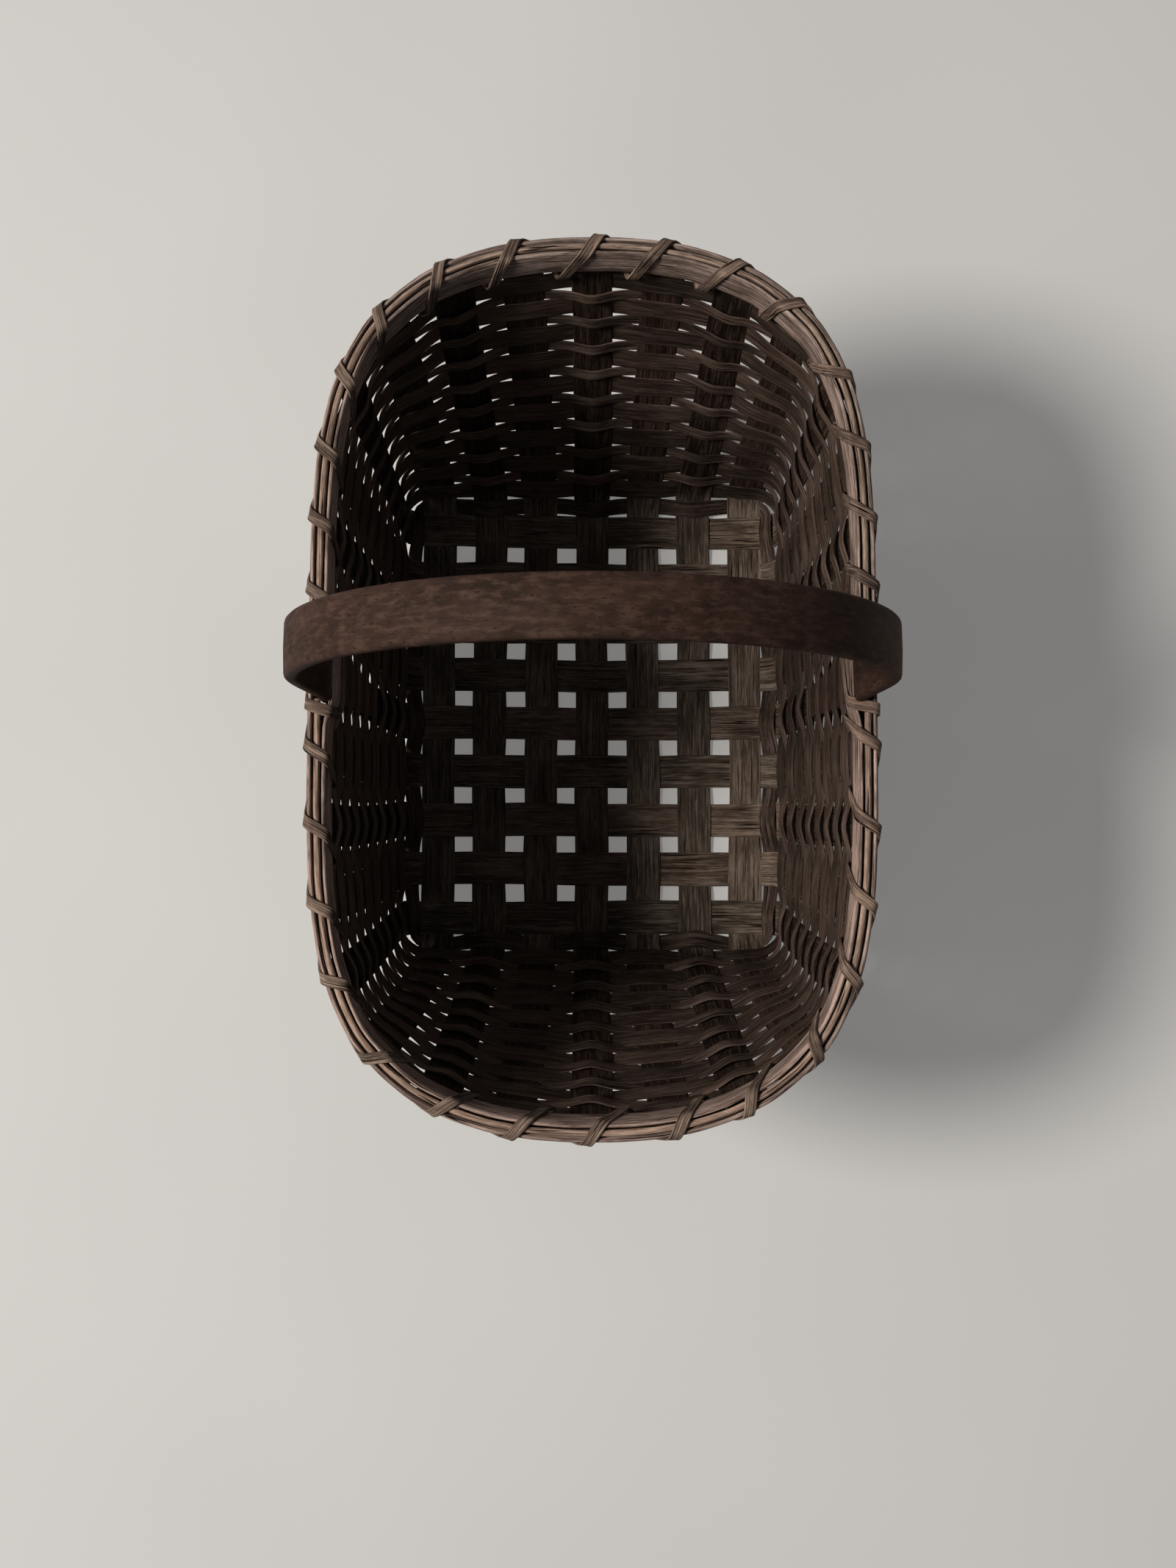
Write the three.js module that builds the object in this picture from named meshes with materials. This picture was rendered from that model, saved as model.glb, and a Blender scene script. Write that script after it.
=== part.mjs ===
// A plaited reed basket: rectangular open base, flaring walls, lashed oval rim and a fixed hoop handle.
// Millimetres. X runs across the basket, Y along it, Z up from the floor under the middle of the rim.
import * as THREE from 'three';

// Reed
const STAKE_WIDTH = 16;
const STAKE_THICK = 1.2;
const WIDE_WIDTH = 12;
const NARROW_WIDTH = 5.8;
const WEAVER_THICK = 1;
const FIT = 0.3; // gap between two pieces that lie on each other
const EDGE_STEP = 0.5; // a strip starts to change sides this far past the edge that it lies on

// Base
const LONG_COUNT = 7;
const CROSS_COUNT = 9;
const LONG_PITCH = 25.2; // between neighbouring long stakes
const CROSS_PITCH = 24; // between neighbouring cross stakes
const BASE_SHIFT = 6; // the base and the handle sit this far behind the middle of the rim

// Heel, the short slope between base and wall that carries the first narrow weaver
const HEEL_ANGLE = THREE.MathUtils.degToRad(35);
const HEEL_RUN = 1.8; // from the base's edge to the first weaver
const HEEL_BEND = 1.3; // the bend into the wall starts this far from its corner

// Wall
const WALL_BULGE = 0.5; // 0 is a straight flare, 1 ends upright at the rim
const ROW_GAP = 0.3; // least gap between two rows

// Rim, sized at the outer face of its outer band
const RIM_HALF_WIDTH = 114.3;
const RIM_HALF_LENGTH = 183.1;
const SIDE_POWER = 4.5; // higher is straighter along the sides
const END_POWER = 2.3; // higher is straighter across the ends
const RIM_TOP = 194;
const RIM_HEIGHT = 16;
const OUTER_RIM_THICK = 2.2;
const INNER_RIM_THICK = 2;
const FILLER_DIAMETER = 3;
const TOP_ROW_DROP = 8; // from the rim's top down to the top weaver's upper edge

// Lashing
const LASH_WIDTH = 5;
const LASH_THICK = 0.8;
const LASH_FIT = 0.45; // gap between the strip and the rim
const LASH_EASE = 0.7; // room above and below the strip where it passes through the wall
const LASH_CORNER = 0.9; // how far the strip cuts each upper corner of the rim
const LASH_TURN = 1.8; // how far it cuts the corners of its turn below the rim

// Handle
const HANDLE_WIDTH = 23;
const LEG_WIDTH = 25.4; // of the band between the rim bands
const HANDLE_THICK = 5.6;
const HANDLE_TOP = 325;
const HANDLE_EDGE = 1.2; // bevel along the band's edges
const HOOP_OVERHANG = 6; // the hoop's springing is this much wider than the rim on each side
const HOOP_SHIFT = 1.2; // the hoop sits this far behind its legs
const LEG_RISE = 14; // from the rim's top to the hoop's centre line of springing
const TAIL_LENGTH = 108;
const TAIL_THICK = 3;
const TIP_WIDTH = 14;
const TIP_THICK = 1.2;

// Values that follow from the sizes above
const HEEL_LENGTH = HEEL_RUN + NARROW_WIDTH + FIT + HEEL_BEND;
const BASE_LIFT = (STAKE_THICK + FIT) / 2; // a stake's height above or below the base's middle plane
const BASE_Z = BASE_LIFT + STAKE_THICK / 2;
const WEAVER_OFFSET = STAKE_THICK / 2 + FIT + WEAVER_THICK / 2;
const WALL_HALF = WEAVER_OFFSET + WEAVER_THICK / 2; // half the plaited wall's thickness
const OUTER_OFFSET = WALL_HALF + FIT + OUTER_RIM_THICK / 2;
const INNER_OFFSET = WALL_HALF + FIT + INNER_RIM_THICK / 2;
const STAKE_TOP = RIM_TOP - FILLER_DIAMETER;
const FILLER_Z = STAKE_TOP + FIT + FILLER_DIAMETER / 2;
const LASH_SLOT = LASH_THICK + 2 * LASH_EASE; // between the top weaver and the row below it
const LASH_TOP = FILLER_Z + FILLER_DIAMETER / 2 + LASH_FIT + LASH_THICK / 2;
const LONG_MIDDLE = (LONG_COUNT + 1) / 2;
const CROSS_MIDDLE = (CROSS_COUNT + 1) / 2;
const QUARTER_STEPS = (LONG_COUNT + CROSS_COUNT) / 2;

const UP = new THREE.Vector3(0, 0, 1);
const along = (p, direction, length) => p.clone().addScaledVector(direction, length);

// Materials

const reed = (color) => new THREE.MeshStandardMaterial({ color, roughness: 0.72, metalness: 0 });
const STAKE_COLOUR = 0x4a3d36;
const WIDE_COLOUR = 0x46382f;
const NARROW_COLOUR = 0x52443a;
const RIM_COLOUR = 0x6a5747;
const LASH_COLOUR = 0x755f4d;
const HANDLE_COLOUR = 0x5a453b;

const group = new THREE.Group();

function addPiece(name, geometry, material) {
  const mesh = new THREE.Mesh(geometry, material);
  mesh.name = name;
  group.add(mesh);
}

// Sections: outlines in the plane across a strip, as pairs along its width and its thickness

function flatOutline(width, thick) {
  const w = width / 2;
  const t = thick / 2;
  return [[w, t], [-w, t], [-w, -t], [w, -t]];
}

// A band with one flat face, and one domed face on the side that `face` points to (1 or -1).
function domedOutline(width, thick, face) {
  const half = width / 2;
  const back = -face * thick / 2;
  const shoulder = -face * thick * 0.05;
  const crown = face * thick / 2;
  return [
    [half, back], [half, shoulder], [half * 0.6, crown],
    [-half * 0.6, crown], [-half, shoulder], [-half, back],
  ];
}

function bevelledOutline(width, thick, bevel) {
  const w = width / 2;
  const t = thick / 2;
  const b = Math.min(bevel, thick * 0.35);
  return [
    [w, t - b], [w - b, t], [b - w, t], [-w, t - b],
    [-w, b - t], [b - w, -t], [w - b, -t], [w, b - t],
  ];
}

function roundOutline(diameter, sides) {
  const outline = [];
  for (let i = 0; i < sides; i++) {
    const angle = (i / sides) * 2 * Math.PI;
    outline.push([Math.cos(angle) * diameter / 2, Math.sin(angle) * diameter / 2]);
  }
  return outline;
}

function place(outline, point, wide, face) {
  return outline.map(([w, t]) => along(along(point, wide, w), face, t));
}

// Skins a row of sections into one closed body.
function sweep(sections, closed) {
  const size = sections[0].length;
  const spans = closed ? sections.length : sections.length - 1;
  const faces = [];
  for (let span = 0; span < spans; span++) {
    const here = span * size;
    const next = ((span + 1) % sections.length) * size;
    for (let corner = 0; corner < size; corner++) {
      const other = (corner + 1) % size;
      if (corner > 0 && corner <= size / 2) {
        faces.push(here + corner, here + other, next + other);
        faces.push(here + corner, next + other, next + corner);
      } else { // the other diagonal, so that a twisted strip keeps its thickness
        faces.push(here + corner, here + other, next + corner);
        faces.push(here + other, next + other, next + corner);
      }
    }
  }
  if (!closed) {
    const last = spans * size;
    for (let corner = 1; corner < size - 1; corner++) {
      faces.push(0, corner + 1, corner);
      faces.push(last, last + corner, last + corner + 1);
    }
  }
  const points = sections.flat();
  if (signedVolume(points, faces) < 0) {
    faces.reverse();
  }
  const geometry = new THREE.BufferGeometry().setFromPoints(points);
  geometry.setIndex(faces);
  geometry.computeVertexNormals();
  return geometry;
}

function signedVolume(points, faces) {
  const cross = new THREE.Vector3();
  let volume = 0;
  for (let i = 0; i < faces.length; i += 3) {
    cross.crossVectors(points[faces[i + 1]], points[faces[i + 2]]);
    volume += points[faces[i]].dot(cross) / 6;
  }
  return volume;
}

// The rim's oval through the middle of the stakes, with points at a distance walked from its back end

const OVAL_HALF_WIDTH = RIM_HALF_WIDTH - OUTER_OFFSET - OUTER_RIM_THICK / 2;
const OVAL_HALF_LENGTH = RIM_HALF_LENGTH - OUTER_OFFSET - OUTER_RIM_THICK / 2;
const OVAL_SAMPLES = 2000; // on each quarter

// A point on the right half, from the back end (0) past the middle of the side (1) to the front end (2).
function ovalPoint(quarters) {
  const q = quarters > 1 ? 2 - quarters : quarters;
  const angle = (Math.PI / 2) * (q ** 3 / (q ** 3 + (1 - q) ** 3)); // closer points near the four crests
  const x = OVAL_HALF_WIDTH * Math.sin(angle) ** (2 / END_POWER);
  const y = OVAL_HALF_LENGTH * Math.cos(angle) ** (2 / SIDE_POWER);
  return new THREE.Vector3(x, quarters > 1 ? -y : y, STAKE_TOP);
}

const ovalPoints = [];
const ovalLengths = [0];
for (let i = 0; i <= 2 * OVAL_SAMPLES; i++) {
  ovalPoints.push(ovalPoint(i / OVAL_SAMPLES));
  if (i > 0) {
    ovalLengths.push(ovalLengths[i - 1] + ovalPoints[i].distanceTo(ovalPoints[i - 1]));
  }
}
const OVAL_QUARTER = ovalLengths[OVAL_SAMPLES];

// The place on the right half of the rim, a number of stakes after the middle one at the back.
// The stakes are spread evenly behind the handle and evenly in front of it.
function rimPlace(steps) {
  const back = OVAL_QUARTER - BASE_SHIFT;
  const front = OVAL_QUARTER + BASE_SHIFT;
  const inFront = Math.max(steps - QUARTER_STEPS, 0);
  const length = (Math.min(steps, QUARTER_STEPS) * back + inFront * front) / QUARTER_STEPS;
  const found = ovalLengths.findIndex((l) => l >= length);
  const after = found < 1 ? 1 : found;
  const share = (length - ovalLengths[after - 1]) / (ovalLengths[after] - ovalLengths[after - 1]);
  const point = ovalPoints[after - 1].clone().lerp(ovalPoints[after], share);
  const tangent = ovalPoints[after].clone().sub(ovalPoints[after - 1]).normalize();
  return { point, tangent };
}

// Uprights: the 32 places where a stake climbs the wall

// One upright's middle line from the base's edge (0) to the stake's top, with its frame anywhere on it.
// `turn` is 1 where `across` points clockwise seen from above, and -1 where it points the other way.
class Upright {
  constructor({ foot, out, across, turn, top, topAcross, onTop, holdsHandle }) {
    this.turn = turn;
    this.across = across;
    this.onTop = onTop; // the stake lies over the last stake that it crosses
    this.holdsHandle = holdsHandle;
    this.points = [];
    this.acrosses = [];
    const heel = along(out.clone().multiplyScalar(Math.cos(HEEL_ANGLE)), UP, Math.sin(HEEL_ANGLE));
    const corner = along(foot, heel, HEEL_LENGTH);
    const wallAt = (v) => corner.clone().lerp(top, v + WALL_BULGE * v * (1 - v)).setZ(
      THREE.MathUtils.lerp(corner.z, top.z, v));
    const bendEnd = HEEL_BEND / (top.z - corner.z);
    const bend = new THREE.QuadraticBezierCurve3(along(corner, heel, -HEEL_BEND), corner, wallAt(bendEnd));
    this.add(foot, across);
    bend.getPoints(Upright.BEND_STEPS).forEach((p) => this.add(p, across));
    for (let i = 1; i <= Upright.WALL_STEPS; i++) {
      const v = THREE.MathUtils.lerp(bendEnd, 1, i / Upright.WALL_STEPS);
      this.add(wallAt(v), across.clone().lerp(topAcross, v));
    }
    this.lengths = [0];
    for (let i = 1; i < this.points.length; i++) {
      this.lengths.push(this.lengths[i - 1] + this.points[i].distanceTo(this.points[i - 1]));
    }
    this.length = this.lengths.at(-1);
    this.bendEnd = this.lengths[Upright.BEND_STEPS + 1];
    this.twist = across.angleTo(topAcross);
    this.sag = WALL_BULGE * Math.hypot(top.x - corner.x, top.y - corner.y) / 4;
  }

  add(point, across) {
    this.points.push(point);
    this.acrosses.push(across);
  }

  at(s) {
    let k = 1;
    while (k < this.points.length - 1 && this.lengths[k] < s) {
      k++;
    }
    const share = (s - this.lengths[k - 1]) / (this.lengths[k] - this.lengths[k - 1]);
    const point = this.points[k - 1].clone().lerp(this.points[k], share);
    const up = this.points[k].clone().sub(this.points[k - 1]).normalize();
    const wide = this.acrosses[k - 1].clone().lerp(this.acrosses[k], Math.min(share, 1));
    wide.addScaledVector(up, -wide.dot(up)).normalize();
    const inward = wide.clone().cross(up).multiplyScalar(this.turn);
    return { point, up, wide, inward };
  }

  // The distance along the line at which it reaches a height, also beyond its top.
  atHeight(z) {
    let k = 1;
    while (k < this.points.length - 1 && this.points[k].z < z) {
      k++;
    }
    const share = (z - this.points[k - 1].z) / (this.points[k].z - this.points[k - 1].z);
    return THREE.MathUtils.lerp(this.lengths[k - 1], this.lengths[k], share);
  }

  // How far the stake itself lies inside (or, below zero, outside) the middle line.
  lift(s) {
    return (this.onTop ? BASE_LIFT : -BASE_LIFT) * Math.max(0, 1 - s / HEEL_LENGTH);
  }
}
Upright.BEND_STEPS = 2;
Upright.WALL_STEPS = 40;

const longX = (i) => (i - LONG_MIDDLE) * LONG_PITCH;
const crossY = (j) => BASE_SHIFT + (CROSS_MIDDLE - j) * CROSS_PITCH;
const isLongOnTop = (i, j) => (i + j) % 2 === 1;

const CROSSING_HALF = STAKE_WIDTH / 2 + FIT; // half the flat length of a stake over the one it crosses

// An upright of long stake i, at the back (side 1) or the front (side -1).
function endUpright(i, side) {
  const steps = side > 0 ? Math.abs(i - LONG_MIDDLE) : 2 * QUARTER_STEPS - Math.abs(i - LONG_MIDDLE);
  const { point, tangent } = rimPlace(steps);
  const mirror = Math.sign(i - LONG_MIDDLE) || 1;
  const lastCross = side > 0 ? 1 : CROSS_COUNT;
  return new Upright({
    foot: new THREE.Vector3(longX(i), crossY(lastCross) + side * CROSSING_HALF, BASE_Z),
    out: new THREE.Vector3(0, side, 0),
    across: new THREE.Vector3(1, 0, 0),
    turn: side,
    top: point.setX(point.x * mirror),
    topAcross: new THREE.Vector3(tangent.x * side, tangent.y * side * mirror, 0),
    onTop: isLongOnTop(i, lastCross),
    holdsHandle: false,
  });
}

// An upright of cross stake j, on the right (side 1) or the left (side -1).
function sideUpright(j, side) {
  const { point, tangent } = rimPlace((LONG_COUNT - 1) / 2 + j);
  const lastLong = side > 0 ? LONG_COUNT : 1;
  return new Upright({
    foot: new THREE.Vector3(longX(lastLong) + side * CROSSING_HALF, crossY(j), BASE_Z),
    out: new THREE.Vector3(side, 0, 0),
    across: new THREE.Vector3(0, 1, 0),
    turn: -side,
    top: point.setX(point.x * side),
    topAcross: new THREE.Vector3(-tangent.x * side, -tangent.y, 0),
    onTop: !isLongOnTop(lastLong, j),
    holdsHandle: j === CROSS_MIDDLE,
  });
}

const count = (n) => Array.from({ length: n }, (_, i) => i + 1);
const backUprights = count(LONG_COUNT).map((i) => endUpright(i, 1));
const frontUprights = count(LONG_COUNT).map((i) => endUpright(i, -1));
const rightUprights = count(CROSS_COUNT).map((j) => sideUpright(j, 1));
const leftUprights = count(CROSS_COUNT).map((j) => sideUpright(j, -1));
const uprights = [ // clockwise seen from above, from the back left corner
  ...backUprights,
  ...rightUprights,
  ...frontUprights.slice().reverse(),
  ...leftUprights.slice().reverse(),
];
const rightHandleUpright = rightUprights[CROSS_MIDDLE - 1];

// The handle's tail, measured down from the stakes' tops

const tailTip = (upright) => upright.length - TAIL_LENGTH;
const tailShare = (upright, s) => (
  THREE.MathUtils.clamp((s - tailTip(upright)) / (TAIL_LENGTH - RIM_HEIGHT), 0, 1));
const tailThick = (upright, s) => THREE.MathUtils.lerp(TIP_THICK, TAIL_THICK, tailShare(upright, s));
const tailWidth = (upright, s) => THREE.MathUtils.lerp(TIP_WIDTH, LEG_WIDTH, tailShare(upright, s));

// Whether a piece on the inside of an upright, with its upper edge at s, lies on a tail and not on the stake.
const onTail = (upright, s) => upright.holdsHandle && s > tailTip(upright) - FIT;

// Rows of weavers: row 0 lies on the heel, then wide and narrow rows take turns, and the top row is last

const wallStart = (upright) => upright.bendEnd + FIT;
const topRowEnd = (upright) => upright.atHeight(RIM_TOP - TOP_ROW_DROP);
const stackLength = (upright) => topRowEnd(upright) - wallStart(upright) - WIDE_WIDTH - LASH_SLOT;
const shortestStack = Math.min(...uprights.map(stackLength));
const PAIR_HEIGHT = WIDE_WIDTH + NARROW_WIDTH + 2 * ROW_GAP;
const ROW_PAIRS = Math.floor((shortestStack + NARROW_WIDTH + 2 * ROW_GAP) / PAIR_HEIGHT);
const TOP_ROW = 2 * ROW_PAIRS;

const isNarrowSide = (row) => row % 2 === 0; // passes inside the stakes that end on top at the base's edge
const rowWidth = (row) => (isNarrowSide(row) && row !== TOP_ROW ? NARROW_WIDTH : WIDE_WIDTH);

// The middle of a row on an upright. The rows between heel and top row share out the spare length as gaps.
function rowAt(upright, row) {
  if (row === 0) {
    return HEEL_RUN + NARROW_WIDTH / 2;
  }
  if (row === TOP_ROW) {
    return topRowEnd(upright) - WIDE_WIDTH / 2;
  }
  const reedLength = ROW_PAIRS * (WIDE_WIDTH + NARROW_WIDTH) - NARROW_WIDTH;
  const gap = (stackLength(upright) - reedLength) / (TOP_ROW - 2);
  const before = Math.floor(row / 2) * WIDE_WIDTH + Math.floor((row - 1) / 2) * NARROW_WIDTH;
  return wallStart(upright) + before + (row - 1) * gap + rowWidth(row) / 2;
}

// A track gives, for each upright, how far up a ring lies, how far inside the middle line, and how far
// to each side of the upright it stays there before it changes over to the next one.

const stakeReach = STAKE_WIDTH / 2 + EDGE_STEP;
const tailReach = (upright, s) => tailWidth(upright, s) / 2 + EDGE_STEP;

function rowTrack(row) {
  const middle = (upright) => rowAt(upright, row);
  const upperEdge = (upright) => middle(upright) + rowWidth(row) / 2;
  const lowerEdge = (upright) => middle(upright) - rowWidth(row) / 2;
  const isInside = (upright) => upright.onTop === isNarrowSide(row);
  const isOnTail = (upright) => isInside(upright) && onTail(upright, upperEdge(upright));
  return {
    height: middle,
    reach: (upright) => (isOnTail(upright) ? tailReach(upright, upperEdge(upright)) : stakeReach),
    offset: (upright) => {
      const tail = isOnTail(upright) ? tailThick(upright, upperEdge(upright)) + FIT : 0;
      const fromStake = (isInside(upright) ? 1 : -1) * (WEAVER_OFFSET + tail);
      return upright.lift(lowerEdge(upright)) + fromStake;
    },
  };
}

const rimMiddle = (upright) => upright.atHeight(RIM_TOP - RIM_HEIGHT / 2);
const outerTrack = {
  height: rimMiddle,
  reach: () => stakeReach,
  offset: () => -OUTER_OFFSET,
};
const innerTrack = {
  height: rimMiddle,
  reach: (upright) => (upright.holdsHandle ? tailReach(upright, upright.length) : stakeReach),
  offset: (upright) => INNER_OFFSET + (upright.holdsHandle ? TAIL_THICK + FIT : 0),
};

// The frame on a track at one side of an upright: 1 is clockwise, -1 the other way.
function trackFrame(track, upright, side) {
  const frame = upright.at(track.height(upright));
  frame.point.addScaledVector(frame.wide, side * upright.turn * track.reach(upright));
  frame.point.addScaledVector(frame.inward, track.offset(upright));
  return frame;
}

function ring(track, outline) {
  const sections = [];
  for (const upright of uprights) {
    for (const side of [-1, 1]) {
      const { point, up, inward } = trackFrame(track, upright, side);
      sections.push(place(outline, point, up, inward));
    }
  }
  return sweep(sections, true);
}

// The frame on a track at any place, counted in uprights: whole numbers are uprights, halves are gaps.
const FLAT_HALF = 0.3; // share of the count that lies on an upright, to each side of it
function trackAt(track, place) {
  const n = uprights.length;
  const nearest = Math.round(place);
  const upright = uprights[(nearest + n) % n];
  const past = place - nearest;
  let from = trackFrame(track, upright, -1);
  let to = trackFrame(track, upright, 1);
  let share = (past + FLAT_HALF) / (2 * FLAT_HALF);
  if (past > FLAT_HALF) {
    from = to;
    to = trackFrame(track, uprights[(nearest + 1 + n) % n], -1);
    share = (past - FLAT_HALF) / (1 - 2 * FLAT_HALF);
  } else if (past < -FLAT_HALF) {
    to = from;
    from = trackFrame(track, uprights[(nearest - 1 + n) % n], 1);
    share = (past + 1 - FLAT_HALF) / (1 - 2 * FLAT_HALF);
  }
  return {
    point: from.point.lerp(to.point, share),
    up: from.up.lerp(to.up, share),
    inward: from.inward.lerp(to.inward, share),
  };
}

// Stakes: up one wall, along the base over and under the stakes that cross it, and up the other wall

const SPAN_SAG = 0.2; // most that a straight span of a stake may leave its curve
const SPAN_TWIST = THREE.MathUtils.degToRad(4);

function uprightStations(upright) {
  const spans = Math.ceil(Math.sqrt(upright.sag / SPAN_SAG) + upright.twist / SPAN_TWIST);
  const places = upright.lengths.slice(1, Upright.BEND_STEPS + 2);
  for (let i = 1; i <= spans; i++) {
    places.push(THREE.MathUtils.lerp(upright.bendEnd, upright.length, i / spans));
  }
  return places.map((s) => {
    const { point, wide, inward } = upright.at(s);
    const isBend = s <= upright.bendEnd;
    return { point: along(point, inward, upright.lift(s)), wide: isBend ? upright.across : wide };
  });
}

function stake(start, end, crossings) {
  const stations = uprightStations(start).reverse();
  for (const { point, direction, across, onTop } of crossings) {
    for (const side of [-1, 1]) {
      const edge = along(point, direction, side * CROSSING_HALF);
      stations.push({ point: along(edge, UP, onTop ? BASE_LIFT : -BASE_LIFT), wide: across });
    }
  }
  stations.push(...uprightStations(end));
  const outline = flatOutline(STAKE_WIDTH, STAKE_THICK);
  const sections = stations.map(({ point, wide }, i) => {
    const before = stations[Math.max(i - 1, 0)].point;
    const after = stations[Math.min(i + 1, stations.length - 1)].point;
    const face = wide.clone().cross(after.clone().sub(before)).normalize();
    return place(outline, point, wide, face);
  });
  return sweep(sections, false);
}

for (const i of count(LONG_COUNT)) {
  const crossings = count(CROSS_COUNT).map((j) => ({
    point: new THREE.Vector3(longX(i), crossY(j), BASE_Z),
    direction: new THREE.Vector3(0, -1, 0),
    across: new THREE.Vector3(1, 0, 0),
    onTop: isLongOnTop(i, j),
  }));
  const strip = stake(backUprights[i - 1], frontUprights[i - 1], crossings);
  addPiece(`long_stake_${i}`, strip, reed(STAKE_COLOUR));
}

for (const j of count(CROSS_COUNT)) {
  const crossings = count(LONG_COUNT).map((i) => ({
    point: new THREE.Vector3(longX(i), crossY(j), BASE_Z),
    direction: new THREE.Vector3(1, 0, 0),
    across: new THREE.Vector3(0, 1, 0),
    onTop: !isLongOnTop(i, j),
  }));
  const strip = stake(leftUprights[j - 1], rightUprights[j - 1], crossings);
  addPiece(`cross_stake_${j}`, strip, reed(STAKE_COLOUR));
}

// Weavers

for (let row = 0; row <= TOP_ROW; row++) {
  const isTop = row === TOP_ROW;
  const isNarrow = isNarrowSide(row) && !isTop;
  const number = Math.floor(row / 2) + 1;
  const name = isTop ? 'top_weaver' : `${isNarrow ? 'narrow' : 'wide'}_weaver_${number}`;
  const outline = flatOutline(rowWidth(row), WEAVER_THICK);
  addPiece(name, ring(rowTrack(row), outline), reed(isNarrow ? NARROW_COLOUR : WIDE_COLOUR));
}

// Rim bands, domed on their open sides

addPiece('outer_rim', ring(outerTrack, domedOutline(RIM_HEIGHT, OUTER_RIM_THICK, -1)), reed(RIM_COLOUR));
addPiece('inner_rim', ring(innerTrack, domedOutline(RIM_HEIGHT, INNER_RIM_THICK, 1)), reed(RIM_COLOUR));

// Fillers: round reed on the stakes' ends between the bands, from one leg of the handle to the other

const RIGHT_HANDLE = uprights.indexOf(rightHandleUpright);
const HALF_ROUND = uprights.length / 2;
const FILLER_SIDES = 6;
const fillerTrack = {
  height: (upright) => upright.atHeight(FILLER_Z),
  reach: (upright) => (upright.holdsHandle ? LEG_WIDTH / 2 + 3 * FIT : stakeReach),
  offset: () => 0,
};

function filler(first) {
  const outline = roundOutline(FILLER_DIAMETER, FILLER_SIDES);
  const sections = [];
  for (let step = 0; step <= HALF_ROUND; step++) {
    const upright = uprights[(first + step) % uprights.length];
    const sides = step === 0 ? [1] : step === HALF_ROUND ? [-1] : [-1, 1];
    for (const side of sides) {
      const { point, up, inward } = trackFrame(fillerTrack, upright, side);
      sections.push(place(outline, point, up, inward));
    }
  }
  return sweep(sections, false);
}

addPiece('rim_filler_front', filler(RIGHT_HANDLE), reed(RIM_COLOUR));
addPiece('rim_filler_back', filler(RIGHT_HANDLE + HALF_ROUND), reed(RIM_COLOUR));

// Lashing: in through a gap under the top weaver, up the inner band, slanting over the rim past the next
// stake, and down the outer band to the next gap

const lashIn = (upright) => innerTrack.offset(upright) + INNER_RIM_THICK / 2 + LASH_FIT + LASH_THICK / 2;
const lashOut = () => -(OUTER_OFFSET + OUTER_RIM_THICK / 2 + LASH_FIT + LASH_THICK / 2);
const lashLow = (upright) => rowAt(upright, TOP_ROW) - WIDE_WIDTH / 2 - LASH_SLOT / 2;
const lashHigh = (upright) => upright.atHeight(LASH_TOP);
const lashAt = (share) => (upright) => THREE.MathUtils.lerp(lashLow(upright), lashHigh(upright), share);
const LOOP = [ // place past the gap, height, offset, and the angle that the strip's outer face looks at
  { past: -0.035, height: lashLow, offset: lashOut, raise: 0, inset: LASH_TURN, look: 247.5 },
  { past: 0.035, height: lashLow, offset: lashIn, raise: 0, inset: -LASH_TURN, look: -67.5 },
  { past: 0.05, height: lashLow, offset: lashIn, raise: LASH_TURN, inset: 0, look: -22.5 },
  { past: 0.31, height: lashHigh, offset: lashIn, raise: -LASH_CORNER, inset: 0, look: 22.5 },
  { past: 0.335, height: lashHigh, offset: lashIn, raise: 0, inset: -LASH_CORNER, look: 67.5 },
  { past: 0.51, height: lashHigh, offset: lashOut, raise: 0, inset: LASH_CORNER, look: 112.5 },
  { past: 0.535, height: lashHigh, offset: lashOut, raise: -LASH_CORNER, inset: 0, look: 157.5 },
  { past: 0.5 + FLAT_HALF, height: lashAt(0.5), offset: lashOut, raise: 0, inset: 0, look: 180 },
  { past: 0.955, height: lashLow, offset: lashOut, raise: LASH_TURN, inset: 0, look: 202.5 },
];

// At each leg of the handle the strip crosses the rim just in front of the leg: on the right after it has
// slanted up past the leg's inside, on the left before it slants down past the leg's outside.
const RIGHT_LEG_LOOP = [
  ...LOOP.slice(0, 3),
  { past: 0.5 - FLAT_HALF, height: lashAt(0.16), offset: lashIn, raise: 0, inset: 0, look: 0 },
  { past: 0.5 + FLAT_HALF, height: lashAt(0.8), offset: lashIn, raise: 0, inset: 0, look: 0 },
  { past: 0.98, height: lashHigh, offset: lashIn, raise: -LASH_CORNER, inset: 0, look: 22.5 },
  { past: 1, height: lashHigh, offset: lashIn, raise: 0, inset: -LASH_CORNER, look: 67.5 },
  { past: 1.08, height: lashHigh, offset: lashOut, raise: 0, inset: LASH_CORNER, look: 112.5 },
  { past: 1.09, height: lashHigh, offset: lashOut, raise: -LASH_CORNER, inset: 0, look: 157.5 },
  { past: 0.98, height: lashLow, offset: lashOut, raise: LASH_TURN, inset: 0, look: 202.5 },
];
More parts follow.
